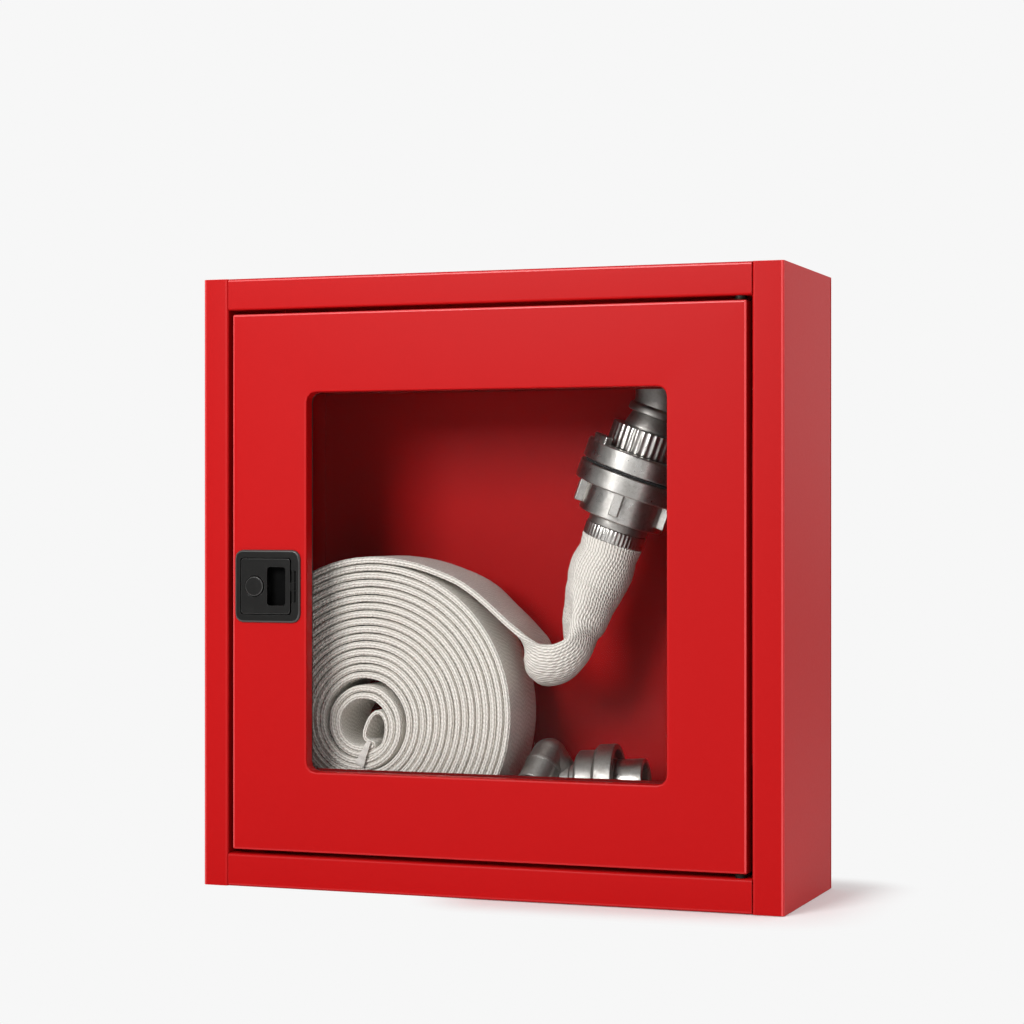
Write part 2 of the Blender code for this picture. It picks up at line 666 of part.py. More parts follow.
def build_hinges(steel, brass):
    """Makes the two fixed hinge pins and the bushes that turn on them; returns the bushes."""
    place = upright(HINGE_X, HINGE_Y)
    bore = HINGE_PIN_RADIUS + BUSH_CLEARANCE
    sleeve = bore + BUSH_WALL
    bushes = []
    ends = (("lower", BOTTOM_RAIL, DOOR_BOTTOM, 1), ("upper", CASE_HEIGHT - TOP_RAIL, DOOR_TOP, -1))
    for name, rail, door_edge, inward in ends:
        head_face = rail - inward * (SHEET + FIT)
        collar_foot, collar_top = rail + inward * FIT, door_edge - inward * (2 * FIT + BUSH_FLANGE_THICKNESS)
        tip = door_edge + inward * HINGE_PIN_REACH
        pin = ((0.0, head_face - inward * HINGE_HEAD_THICKNESS),
               (HINGE_PIN_HEAD, head_face - inward * HINGE_HEAD_THICKNESS), (HINGE_PIN_HEAD, head_face),
               (HINGE_PIN_RADIUS, head_face), (HINGE_PIN_RADIUS, collar_foot), (HINGE_PIN_HEAD, collar_foot),
               (HINGE_PIN_HEAD, collar_top), (HINGE_PIN_RADIUS, collar_top), (HINGE_PIN_RADIUS, tip), (0.0, tip))
        make_object(name + "_hinge_pin", turned(pin, place, FINE_SPIN_STEPS, ring=False), steel)
        flange_far = door_edge - inward * (FIT + BUSH_FLANGE_THICKNESS)
        flange_near = door_edge - inward * FIT
        bush = ((bore, flange_far), (BUSH_FLANGE_RADIUS, flange_far), (BUSH_FLANGE_RADIUS, flange_near),
                (sleeve, flange_near), (sleeve, tip), (bore, tip))
        bushes.append(make_object(name + "_hinge_bush", turned(bush, place, FINE_SPIN_STEPS), brass))
    return bushes


def build_door_panel(paint):
    """Makes the door pan: folded edges outside, a folded return round the window, and the latch cutout."""
    soft = DOOR_EDGE_RADIUS
    half = soft * (1 - math.sqrt(0.5))
    window_rear = FRONT + WINDOW_RETURN

    def outer(inset, y):
        return window_loop(DOOR_LEFT + inset, DOOR_RIGHT - inset, DOOR_BOTTOM + inset, DOOR_TOP - inset,
                           DOOR_CORNER_RADIUS - inset, y)

    def window(growth, y):
        return window_loop(WINDOW_LEFT - growth, WINDOW_RIGHT + growth, WINDOW_BOTTOM - growth,
                           WINDOW_TOP + growth, WINDOW_CORNER + growth, y)

    loops = (outer(0.0, DOOR_REAR), outer(0.0, FRONT + soft), outer(half, FRONT + half), outer(soft, FRONT),
             window(soft, FRONT), window(half, FRONT + half), window(0.0, FRONT + soft), window(0.0, window_rear),
             window(SHEET, window_rear), window(SHEET, FRONT + soft + SHEET), window(soft + SHEET, FRONT + SHEET),
             outer(soft + SHEET, FRONT + SHEET), outer(SHEET, FRONT + soft + SHEET), outer(SHEET, DOOR_REAR))
    door = make_object("door_panel", skin(bmesh.new(), loops, closed=True), paint)
    cut(door, centred_plate(LATCH_X, LATCH_Z, BEZEL_WIDTH - 2 * BEZEL_LAP + 2 * FIT,
                            BEZEL_HEIGHT - 2 * BEZEL_LAP + 2 * FIT, BEZEL_CORNER - BEZEL_LAP,
                            FRONT - OVERCUT, FRONT + SHEET + OVERCUT))
    bush_hole = HINGE_PIN_RADIUS + BUSH_CLEARANCE + BUSH_WALL + FIT
    reach = DOOR_EDGE_RADIUS + SHEET + OVERCUT
    for edge in (DOOR_BOTTOM, DOOR_TOP):
        cut(door, rod(Vector((HINGE_X, HINGE_Y, edge - reach)), Vector((HINGE_X, HINGE_Y, edge + reach)),
                      bush_hole, FINE_SPIN_STEPS))
    return door


def build_glazing(finishes):
    """Makes the window gasket, the pane and the folded strips that hold it; returns them."""
    lap = PANE_LAP

    def frame_loop(growth, corner, y):
        return window_loop(WINDOW_LEFT - growth, WINDOW_RIGHT + growth, WINDOW_BOTTOM - growth,
                           WINDOW_TOP + growth, corner, y)

    gasket_front = FRONT + WINDOW_RETURN + FIT
    gasket_rear = gasket_front + GASKET_THICKNESS
    gasket = make_object("window_gasket", skin(bmesh.new(), [
        frame_loop(lap, FIT, gasket_front), frame_loop(lap, FIT, gasket_rear),
        frame_loop(0.0, WINDOW_CORNER, gasket_rear), frame_loop(0.0, WINDOW_CORNER, gasket_front)], closed=True),
        finishes["rubber"])
    pane = make_object("window_pane", plate(WINDOW_LEFT - lap, WINDOW_RIGHT + lap, WINDOW_BOTTOM - lap,
                                            WINDOW_TOP + lap, FIT, PANE_FRONT, PANE_REAR), finishes["glass"])
    foot, lip = FRONT + SHEET + FIT, PANE_REAR + FIT + SHEET
    web = lap + FIT
    path = ((web + STRIP_FOOT, foot), (web, foot), (web, lip), (web - STRIP_LIP, lip))
    outline = folded(path, -1, SHEET, 2 * SHEET)
    out_x, out_z, into = Vector((1, 0, 0)), Vector((0, 0, 1)), Vector((0, 1, 0))
    corner_x, corner_z = WINDOW_RIGHT + lap, WINDOW_TOP + lap
    low_x, low_z = WINDOW_LEFT - lap, WINDOW_BOTTOM - lap
    end = STRIP_FOOT + SHEET + FIT
    latch_low = LATCH_Z - BEZEL_HEIGHT / 2 - BEZEL_LAP
    latch_high = LATCH_Z + BEZEL_HEIGHT / 2 + BEZEL_LAP
    inside_low, inside_high = low_z + STRIP_LIP, corner_z - STRIP_LIP
    runs = (
        ("glazing_strip_top", Vector((low_x - end, 0, WINDOW_TOP)), out_z, Vector((corner_x - low_x + 2 * end, 0, 0))),
        ("glazing_strip_bottom", Vector((low_x - end, 0, WINDOW_BOTTOM)), -out_z,
         Vector((corner_x - low_x + 2 * end, 0, 0))),
        ("glazing_strip_right", Vector((WINDOW_RIGHT, 0, inside_low)), out_x, Vector((0, 0, inside_high - inside_low))),
        ("glazing_strip_left_upper", Vector((WINDOW_LEFT, 0, latch_high)), -out_x,
         Vector((0, 0, inside_high - latch_high))),
        ("glazing_strip_left_lower", Vector((WINDOW_LEFT, 0, inside_low)), -out_x,
         Vector((0, 0, latch_low - inside_low))),
    )
    strips = [make_object(name, prism(outline, origin, out, into, run), finishes["paint"])
              for name, origin, out, run in runs]
    return [gasket, pane, *strips]


def build_latch(finishes):
    """Makes the black latch dish with its hinged pull flap and the turn lock; returns its three bodies."""
    body_width, body_height = BEZEL_WIDTH - 2 * BEZEL_LAP, BEZEL_HEIGHT - 2 * BEZEL_LAP
    floor_face = DISH_REAR - DISH_FLOOR
    pocket_low = LATCH_Z - TAB_HEIGHT / 2 - 2 * KNUCKLE_GAP - KNUCKLE_HEIGHT
    pocket_high = LATCH_Z + TAB_HEIGHT / 2 + 2 * KNUCKLE_GAP + KNUCKLE_HEIGHT
    pocket_right = FLAP_AXIS_X + KNUCKLE_RADIUS + FLAP_GROOVE
    bezel = make_object("latch_bezel", centred_plate(LATCH_X, LATCH_Z, BEZEL_WIDTH, BEZEL_HEIGHT, BEZEL_CORNER,
                                                     BEZEL_FRONT, FRONT - FIT), finishes["plastic"])
    join(bezel, centred_plate(LATCH_X, LATCH_Z, body_width, body_height, BEZEL_CORNER - BEZEL_LAP,
                              FRONT - FIT - BEZEL_PROUD / 2, DISH_REAR))
    cut(bezel, plate(FLAP_X - FLAP_WIDTH / 2 - FLAP_GROOVE, FLAP_X + FLAP_WIDTH / 2 + FLAP_HINGE_GROOVE,
                     LATCH_Z - FLAP_HEIGHT / 2 - FLAP_GROOVE, LATCH_Z + FLAP_HEIGHT / 2 + FLAP_GROOVE,
                     FLAP_CORNER, BEZEL_FRONT - OVERCUT, floor_face))
    cut(bezel, box(Vector((FLAP_X, BEZEL_FRONT - OVERCUT, pocket_low)),
                   Vector((pocket_right, floor_face - FIT, pocket_high))))
    knuckles = []
    for low in (pocket_low + KNUCKLE_GAP, LATCH_Z + TAB_HEIGHT / 2 + KNUCKLE_GAP):
        barrel = rod(Vector((FLAP_AXIS_X, FLAP_AXIS_Y, low)),
                     Vector((FLAP_AXIS_X, FLAP_AXIS_Y, low + KNUCKLE_HEIGHT)), KNUCKLE_RADIUS, FINE_SPIN_STEPS)
        leg = box(Vector((FLAP_AXIS_X - KNUCKLE_RADIUS + FIT, FLAP_AXIS_Y, low)),
                  Vector((FLAP_AXIS_X + KNUCKLE_RADIUS - FIT, floor_face + DISH_FLOOR / 2, low + KNUCKLE_HEIGHT)))
        knuckles.append((barrel, leg))
    for barrel, leg in knuckles:
        join(bezel, leg)
        join(bezel, barrel)
    pin_hole = FLAP_PIN_RADIUS + FIT
    pin_low, pin_high = pocket_low + KNUCKLE_GAP, pocket_high - KNUCKLE_GAP
    cut(bezel, rod(Vector((FLAP_AXIS_X, FLAP_AXIS_Y, pin_low - KNUCKLE_GAP)),
                   Vector((FLAP_AXIS_X, FLAP_AXIS_Y, pin_high + KNUCKLE_GAP)), pin_hole, FINE_SPIN_STEPS // 2))
    lock = along_front(KNOB_X, LATCH_Z)
    cut(bezel, rod(Vector((KNOB_X, floor_face - OVERCUT, LATCH_Z)), Vector((KNOB_X, DISH_REAR + OVERCUT, LATCH_Z)),
                   BARREL_RADIUS + FIT, FINE_SPIN_STEPS))

    flap = make_object("latch_flap", centred_plate(FLAP_X, LATCH_Z, FLAP_WIDTH, FLAP_HEIGHT, FLAP_CORNER,
                                                   FLAP_FRONT, FLAP_FRONT + FLAP_THICKNESS), finishes["plastic"])
    tab_low, tab_high = LATCH_Z - TAB_HEIGHT / 2, LATCH_Z + TAB_HEIGHT / 2
    flap_right = FLAP_X + FLAP_WIDTH / 2
    join(flap, box(Vector((flap_right - OVERCUT, FLAP_AXIS_Y - KNUCKLE_RADIUS / 2, tab_low)),
                   Vector((FLAP_AXIS_X, FLAP_FRONT + FLAP_THICKNESS, tab_high))))
    join(flap, rod(Vector((FLAP_AXIS_X, FLAP_AXIS_Y, tab_low)), Vector((FLAP_AXIS_X, FLAP_AXIS_Y, tab_high)),
                   KNUCKLE_RADIUS, FINE_SPIN_STEPS))
    finger_x = flap_right - FINGER_INSET - FINGER_WIDTH / 2
    cut(flap, centred_plate(finger_x, LATCH_Z, FINGER_WIDTH, FINGER_HEIGHT, FLAP_CORNER,
                            FLAP_FRONT - OVERCUT, FLAP_FRONT + FLAP_THICKNESS + OVERCUT))
    cut(flap, rod(Vector((KNOB_X, FLAP_FRONT - OVERCUT, LATCH_Z)),
                  Vector((KNOB_X, FLAP_FRONT + FLAP_THICKNESS + OVERCUT, LATCH_Z)), KNOB_RADIUS + KNOB_CLEARANCE))
    cut(flap, rod(Vector((FLAP_AXIS_X, FLAP_AXIS_Y, tab_low - OVERCUT)),
                  Vector((FLAP_AXIS_X, FLAP_AXIS_Y, tab_high + OVERCUT)), pin_hole, FINE_SPIN_STEPS // 2))
    flap_pin = make_object("flap_hinge_pin", rod(Vector((FLAP_AXIS_X, FLAP_AXIS_Y, pin_low)),
                                                 Vector((FLAP_AXIS_X, FLAP_AXIS_Y, pin_high)), FLAP_PIN_RADIUS,
                                                 FINE_SPIN_STEPS // 2), finishes["steel"])

    flange_rear = floor_face - FIT
    flange_front = flange_rear - BARREL_FLANGE_THICKNESS
    shaft_hole = LOCK_SHAFT_RADIUS + FIT
    barrel = make_object("lock_barrel", turned((
        (shaft_hole, flange_front), (BARREL_FLANGE_RADIUS, flange_front), (BARREL_FLANGE_RADIUS, flange_rear),
        (BARREL_RADIUS, flange_rear), (BARREL_RADIUS, BARREL_REAR), (shaft_hole, BARREL_REAR)), lock,
        FINE_SPIN_STEPS), finishes["steel"])
    nut_place = lock @ Matrix.Translation((0, 0, DISH_REAR + FIT))
    nut = hex_nut("barrel_nut", BARREL_NUT_FLATS, BARREL_RADIUS + FIT, nut_place, BARREL_NUT_THICKNESS,
                  finishes["steel"])
    knob_front = BEZEL_FRONT - KNOB_PROUD
    knob_rear = flange_front - FIT
    cam_rear = CAM_FRONT + CAM_THICKNESS
    screw_hole = CAM_SCREW_RADIUS + FIT
    knob = make_object("lock_knob", turned((
        (0.0, knob_front), (KNOB_RADIUS, knob_front), (KNOB_RADIUS, knob_rear), (LOCK_SHAFT_RADIUS, knob_rear),
        (LOCK_SHAFT_RADIUS, cam_rear), (screw_hole, cam_rear), (screw_hole, cam_rear - CAM_SCREW_LENGTH - FIT),
        (0.0, cam_rear - CAM_SCREW_LENGTH - FIT)), lock, SPIN_STEPS, ring=False), finishes["plastic"])
    cam = make_object("lock_cam", centred_plate(KNOB_X, LATCH_Z + CAM_WIDTH / 2 - (CAM_REACH + CAM_WIDTH / 2) / 2,
                                                CAM_WIDTH, CAM_REACH + CAM_WIDTH / 2, CAM_WIDTH / 3,
                                                CAM_FRONT, cam_rear), finishes["steel"])
    cut(cam, rod(Vector((KNOB_X, CAM_FRONT - OVERCUT, LATCH_Z)), Vector((KNOB_X, cam_rear + OVERCUT, LATCH_Z)),
                 shaft_hole, FINE_SPIN_STEPS))
    screw_face = cam_rear + FIT
    screw = make_object("cam_screw", turned((
        (0.0, cam_rear - CAM_SCREW_LENGTH), (CAM_SCREW_RADIUS, cam_rear - CAM_SCREW_LENGTH),
        (CAM_SCREW_RADIUS, screw_face), (CAM_SCREW_HEAD, screw_face), (CAM_SCREW_HEAD, screw_face + CAM_THICKNESS),
        (0.0, screw_face + CAM_THICKNESS)), lock, FINE_SPIN_STEPS, ring=False), finishes["steel"])
    return [bezel, flap_pin, barrel, nut], [flap], [knob, cam, screw]


def coupling_half(names, placement, finishes):
    """Makes a hose tail, its ferrule and its lugged lock ring, stacked along the placement's Z; returns the ring."""
    collar, hub = FERRULE_LENGTH, FERRULE_LENGTH + COLLAR_LENGTH
    shoulder = hub + HUB_LENGTH
    face = shoulder + RING_LENGTH
    tail_name, ferrule_name, ring_name = names
    make_object(tail_name, turned((
        (BORE_RADIUS, 0.0), (FERRULE_SEAT, 0.0), (FERRULE_SEAT, collar), (COLLAR_RADIUS, collar),
        (COLLAR_RADIUS, hub), (SPIGOT_RADIUS, hub), (SPIGOT_RADIUS, face), (BORE_RADIUS, face)), placement),
        finishes["alloy"])
    make_object(ferrule_name, turned((
        (FERRULE_SEAT + FIT, 0.0), (FERRULE_RADIUS, 0.0), (FERRULE_RADIUS, collar - FIT),
        (FERRULE_SEAT + FIT, collar - FIT)), placement), finishes["alloy"])
    bore = SPIGOT_RADIUS + FIT
    ring = make_object(ring_name, turned((
        (bore, hub + FIT), (HUB_RADIUS, hub + FIT), (HUB_RADIUS, shoulder), (RING_RADIUS, shoulder),
        (RING_RADIUS, face), (bore, face)), placement), finishes["alloy"])
    lugs = []
    for i in range(LUG_COUNT):
        lug = box(Vector((HUB_RADIUS - LUG_PROUD / 2, -LUG_WIDTH / 2, shoulder - LUG_LENGTH)),
                  Vector((HUB_RADIUS + LUG_PROUD, LUG_WIDTH / 2, shoulder + RING_LENGTH / 4)))
        lug.transform(placement @ Matrix.Rotation(LUG_FIRST + math.tau * i / LUG_COUNT, 4, "Z"))
        lugs.append(lug)
    join(ring, gather(*lugs))
    return ring


def ring_loop(placement, radius, count):
    """Returns a circle of points in the placement's XY plane."""
    return [placement @ Vector((radius * math.cos(math.tau * i / count), radius * math.sin(math.tau * i / count), 0.0))
            for i in range(count)]


def build_coupling(finishes):
    """Makes the coupling from the hose tail up to the outlet elbow; returns the lock ring and the elbow's end."""
    placement = axis_frame(COUPLING_FOOT, COUPLING_AXIS, VIEWER_SIDE)
    ring = coupling_half(("hose_tail", "hose_ferrule", "hose_lock_ring"), placement, finishes)
    face = FERRULE_LENGTH + COLLAR_LENGTH + HUB_LENGTH + RING_LENGTH
    seal = face + FIT
    make_object("coupling_seal", turned((
        (BORE_RADIUS, seal), (SEAL_RADIUS, seal), (SEAL_RADIUS, seal + SEAL_THICKNESS),
        (BORE_RADIUS, seal + SEAL_THICKNESS)), placement), finishes["rubber"])
    upper = seal + SEAL_THICKNESS + FIT
    upper_top = upper + UPPER_RING_LENGTH
    nut_foot = upper_top + FIT
    nut_top = nut_foot + NUT_LENGTH
    cone_foot = nut_top + FIT
    cone_top = cone_foot + CONE_LENGTH
    make_object("outlet_adapter", turned((
        (BORE_RADIUS, upper), (SPIGOT_RADIUS, upper), (SPIGOT_RADIUS, cone_foot), (CONE_FOOT_RADIUS, cone_foot),
        (CONE_TOP_RADIUS, cone_top), (BORE_RADIUS, cone_top)), placement), finishes["alloy"])
    bore = SPIGOT_RADIUS + FIT
    claw_ring = make_object("valve_lock_ring", turned((
        (bore, upper), (UPPER_RING_RADIUS, upper), (UPPER_RING_RADIUS, upper_top), (bore, upper_top)), placement),
        finishes["alloy"])
    inner, outer = UPPER_RING_RADIUS - CLAW_DEPTH, UPPER_RING_RADIUS - FIT
    sweep = [CLAW_ANGLE + CLAW_SPAN * (i / BEND_STEPS - 0.5) for i in range(BEND_STEPS + 1)]
    outline = [(outer * math.cos(a), outer * math.sin(a)) for a in sweep]
    outline += [(inner * math.cos(a), inner * math.sin(a)) for a in sweep[::-1]]
    claw = prism(outline, Vector((0, 0, upper_top - UPPER_RING_LENGTH / 4)), Vector((1, 0, 0)), Vector((0, 1, 0)),
                 Vector((0, 0, UPPER_RING_LENGTH / 4 + CLAW_RISE)))
    claw.transform(placement)
    join(claw_ring, claw)
    count = 2 * NUT_FLUTES

    def fluted(height):
        lifted = placement @ Matrix.Translation((0, 0, height))
        return [lifted @ Vector(((NUT_RADIUS - FLUTE_DEPTH * (i % 2)) * math.cos(math.tau * i / count),
                                 (NUT_RADIUS - FLUTE_DEPTH * (i % 2)) * math.sin(math.tau * i / count), 0.0))
                for i in range(count)]

    def round_bore(height):
        return ring_loop(placement @ Matrix.Translation((0, 0, height)), bore, count)

    make_object("union_nut", skin(bmesh.new(), [fluted(nut_foot), fluted(nut_top), round_bore(nut_top),
                                                round_bore(nut_foot)], closed=True), finishes["alloy"])
    bead = cone_top + FIT
    end = build_outlet_elbow(placement, bead, finishes)
    return ring, end


def build_outlet_elbow(placement, bead, finishes):
    """Makes the elbow that rises from the tilted coupling and turns level to the valve; returns its end point."""
    bead_end = bead + BEAD_LENGTH
    stations = [(placement @ Vector((0, 0, height)), COUPLING_AXIS, radius)
                for height, radius in ((bead, BEAD_RADIUS), (bead_end - BEAD_LENGTH / 4, BEAD_RADIUS))]
    stations.append((placement @ Vector((0, 0, bead_end)), COUPLING_AXIS, ELBOW_RADIUS))
    for first, last, steps in ((COUPLING_TILT, 0.0, 2), (0.0, math.pi / 2, ELBOW_STEPS)):
        side = math.copysign(ELBOW_BEND, last - first)
        start = stations[-1][0]
        centre = start + Vector((math.cos(first), 0.0, -math.sin(first))) * side
        for step in range(1, steps + 1):
            lean = first + (last - first) * step / steps
            place = centre - Vector((math.cos(lean), 0.0, -math.sin(lean))) * side
            stations.append((place, Vector((math.sin(lean), 0.0, math.cos(lean))), ELBOW_RADIUS))
    side = Vector((0, 1, 0))
    count = FINE_SPIN_STEPS + 4
    outside = [ring_loop(axis_frame(place, axis, side), radius, count) for place, axis, radius in stations]
    inside = [ring_loop(axis_frame(place, axis, side), BORE_RADIUS, count) for place, axis, _ in stations[::-1]]
    make_object("outlet_elbow", skin(bmesh.new(), outside + inside, closed=True), finishes["alloy"])
    return stations[-1][0]


def build_valve(outlet, finishes):
    """Makes the angle valve from the elbow's end to the pipe hole; returns its moving pieces and its axis."""
    x, z = outlet.x + FIT + VALVE_REACH, outlet.z
    middle = outlet.y
    along = along_front(x, z)
    wall = CHAMBER_RADIUS + CHAMBER_WALL
    front, seat = middle - BODY_FRONT, middle + SEAT_OFFSET
    seat_rear = seat + SEAT_LENGTH
    body = make_object("valve_body", turned((
        (0.0, front), (wall - FIT, front), (wall, middle), (wall, seat), (INLET_RADIUS, seat_rear),
        (INLET_RADIUS, BACK), (0.0, BACK)), along, SPIN_STEPS, ring=False), finishes["brass"])
    join(body, rod(Vector((x, middle, z)), Vector((outlet.x + FIT, middle, z)), OUTLET_RADIUS))
    cut(body, turned((
        (0.0, front - OVERCUT), (CHAMBER_RADIUS, front - OVERCUT), (CHAMBER_RADIUS, seat), (SEAT_RADIUS, seat),
        (SEAT_RADIUS, seat_rear), (INLET_BORE, seat_rear), (INLET_BORE, BACK + OVERCUT), (0.0, BACK + OVERCUT)),
        along, SPIN_STEPS, ring=False))
    cut(body, rod(Vector((x, middle, z)), Vector((outlet.x - OVERCUT, middle, z)), BORE_RADIUS))

    hole = STEM_RADIUS + FIT
    bonnet_rear, bonnet_face = front - FIT, front - FIT - BONNET_FLANGE
    neck_end = bonnet_face - BONNET_NECK
    make_object("valve_bonnet", turned((
        (hole, bonnet_rear), (BONNET_RADIUS, bonnet_rear), (BONNET_RADIUS, bonnet_face),
        (BONNET_NECK_RADIUS, bonnet_face), (BONNET_NECK_RADIUS, neck_end), (hole, neck_end)), along),
        finishes["brass"])
    gland_place = along @ Matrix.Translation((0, 0, neck_end - FIT - GLAND_LENGTH))
    hex_nut("gland_nut", GLAND_FLATS, hole, gland_place, GLAND_LENGTH, finishes["brass"])
    wheel_rear = neck_end - FIT - GLAND_LENGTH - WHEEL_GAP
    wheel_middle, wheel_front = wheel_rear - WHEEL_RIM, wheel_rear - 2 * WHEEL_RIM
    tip = wheel_front - FIT - STEM_TIP_LENGTH
    stem = make_object("valve_stem", turned((
        (0.0, tip), (STEM_TIP_RADIUS, tip), (STEM_TIP_RADIUS, wheel_front), (STEM_RADIUS, wheel_front),
        (STEM_RADIUS, middle - STEM_END), (0.0, middle - STEM_END)), along, FINE_SPIN_STEPS, ring=False),
        finishes["steel"])
    rim = [(WHEEL_RADIUS + WHEEL_RIM * math.cos(math.tau * i / 10), wheel_middle + WHEEL_RIM * math.sin(math.tau * i / 10))
           for i in range(10)]
    wheel = make_object("handwheel", turned(rim, along), finishes["wheel"])
    spokes = []
    for i in range(WHEEL_SPOKES):
        turn = Matrix.Rotation(math.tau * (i + 0.5) / WHEEL_SPOKES, 3, "Y")
        centre = Vector((x, wheel_middle, z))
        out = turn @ Vector((1, 0, 0))
        spokes.append(rod(centre + out * (STEM_RADIUS + WHEEL_HUB_RADIUS) / 2, centre + out * WHEEL_RADIUS,
                          SPOKE_RADIUS, FINE_SPIN_STEPS // 2))
    join(wheel, gather(*spokes))
    join(wheel, turned(((hole, wheel_rear), (WHEEL_HUB_RADIUS, wheel_rear), (WHEEL_HUB_RADIUS, wheel_front),
                        (hole, wheel_front)), along, FINE_SPIN_STEPS))
    nut_place = along @ Matrix.Translation((0, 0, wheel_front - FIT - WHEEL_NUT_LENGTH))
    nut = hex_nut("handwheel_nut", WHEEL_NUT_FLATS, STEM_TIP_RADIUS + FIT, nut_place, WHEEL_NUT_LENGTH,
                  finishes["steel"])
    disc_rear = seat - FIT
    disc_face = disc_rear - DISC_THICKNESS
    hub_end = disc_face - DISC_HUB_LENGTH
    disc = make_object("valve_disc", turned((
        (0.0, disc_rear), (DISC_RADIUS, disc_rear), (DISC_RADIUS, disc_face), (DISC_HUB_RADIUS, disc_face),
        (DISC_HUB_RADIUS, hub_end), (hole, hub_end), (hole, disc_face + DISC_CROWN), (0.0, disc_face + DISC_CROWN)),
        along, SPIN_STEPS, ring=False), finishes["brass"])

    sleeve, hole_edge = INLET_RADIUS + FIT, INLET_RADIUS + GROMMET_WALL + FIT
    flange_rear = BACK - SHEET - FIT
    make_object("inlet_grommet", turned((
        (sleeve, flange_rear - GROMMET_FLANGE_THICKNESS), (hole_edge + GROMMET_FLANGE, flange_rear - GROMMET_FLANGE_THICKNESS),
        (hole_edge + GROMMET_FLANGE, flange_rear), (hole_edge, flange_rear), (hole_edge, BACK), (sleeve, BACK)),
        along), finishes["rubber"])
    return [stem, wheel, nut], [disc], Vector((x, middle, z))


def strand_radius(turns, layer):
    """Returns the radius of a strand's middle after some turns from the fold; layer 1 lies outside layer 0."""
    return EYE_RADIUS + HOSE_THICKNESS / 2 + (layer + 2 * turns) * LAYER_PITCH


def roll_centre():
    """Returns the middle of the outer turns, which rest on the floor."""
    lowest = (FOLD_ANGLE - math.radians(270.0)) / math.tau + WHOLE_TURNS
    reach = strand_radius(lowest, 1) + HOSE_THICKNESS / 2
    return Vector((ROLL_X, 0.0, FLOOR_TOP + FIT + reach))


def strand_point(step, layer):
    """Returns a point of a strand by its count of even steps from the fold."""
    turns = step / POINTS_PER_TURN
    radius = strand_radius(turns, layer)
    inner, outer = strand_radius(0, 0), strand_radius(WHOLE_TURNS, 1)
    share = 1 - (radius - inner) / (outer - inner)
    angle = FOLD_ANGLE - turns * math.tau
    spoke = Vector((math.cos(angle), 0.0, math.sin(angle)))
    return roll_centre() + EYE_SHIFT * share + spoke * radius


def last_turn(first, last, layer):
    """Returns the points of a strand between two steps of its last turn."""
    before = WHOLE_TURNS * POINTS_PER_TURN
    return [strand_point(before + step, layer) for step in range(first, last + 1)]


def flat_section(place, along, width_way, half_width, half_thickness, sides):
    """Returns a flattened hose section: an oval across the path with its long side along the given way."""
    along = along.normalized()
    wide = (width_way - along * width_way.dot(along)).normalized()
    thick = along.cross(wide)
    loop = []
    for i in range(sides):
        angle = math.tau * (i + 0.5) / sides
        wide_part = math.copysign(abs(math.cos(angle)) ** 0.7, math.cos(angle))
        loop.append(place + wide * half_width * wide_part + thick * half_thickness * math.sin(angle))
    return loop


def box_section(place, along):
    """Returns a square-edged section of the rolled hose."""
    along = along.normalized()
    out = along.cross(Vector((0, 1, 0))).normalized() * HOSE_THICKNESS / 2
    wide = Vector((0, HOSE_WIDTH / 2, 0))
    return [place + out + wide, place + out - wide, place - out - wide, place - out + wide]


def tangents(points):
    """Returns the path's direction at each of its points."""
    before, after = points[:1] + points[:-1], points[1:] + points[-1:]
    return [(b - a).normalized() for a, b in zip(before, after)]


def smooth_route(stations):
    """Puts one point between each two stations on a smooth curve through all of them."""
    finer = [stations[0]]
    padded = [stations[0], *stations, stations[-1]]
    for a, b, c, d in zip(padded, padded[1:], padded[2:], padded[3:]):
        finer.append(tuple((9 * (q + r) - (p + s)) / 16 for p, q, r, s in zip(a, b, c, d)))
        finer.append(c)
    return finer


def free_stretch(name, rolled, route, end, end_axis, material):
    """Makes a stretch of hose from the roll's second point along a route to a coupling, from flat to round."""
    wide = Vector((0, -1, 0))
    half, thin = HOSE_WIDTH / 2, HOSE_THICKNESS / 2
    round_side = route[-1][1]
    straight = end - end_axis * HOSE_END_STRAIGHT
    stations = [(point, wide, half, thin) for point in rolled]
    stations += list(route)
    stations += [(straight, round_side, HOSE_END_RADIUS, HOSE_END_RADIUS * 0.94)]
    stations = stations[:len(rolled)] + smooth_route(stations[len(rolled):])
    stations.append((end, round_side, HOSE_END_RADIUS, HOSE_END_RADIUS))
    ways = tangents([place for place, *_ in stations])
    ways[-1] = ways[-2] = end_axis
    stations, ways = stations[1:], ways[1:]
    loops = [flat_section(place, way, side, wide_half, thick_half, HOSE_SIDES)
             for (place, side, wide_half, thick_half), way in zip(stations, ways)]
    make_object(name, skin(bmesh.new(), loops, closed=False), material)
    return sum((b[0] - a[0]).length for a, b in zip(stations, stations[1:]))


def least_gap(path, turn_points):
    """Returns the least clear distance between turns of a wound path, measured on its points."""
    least = math.inf
    for i, point in enumerate(path):
        for other, after in zip(path[i + turn_points:], path[i + turn_points + 1:]):
            run = after - other
            share = max(0.0, min(1.0, (point - other).dot(run) / run.length_squared))
            least = min(least, (other + run * share - point).length)
    return least - HOSE_THICKNESS


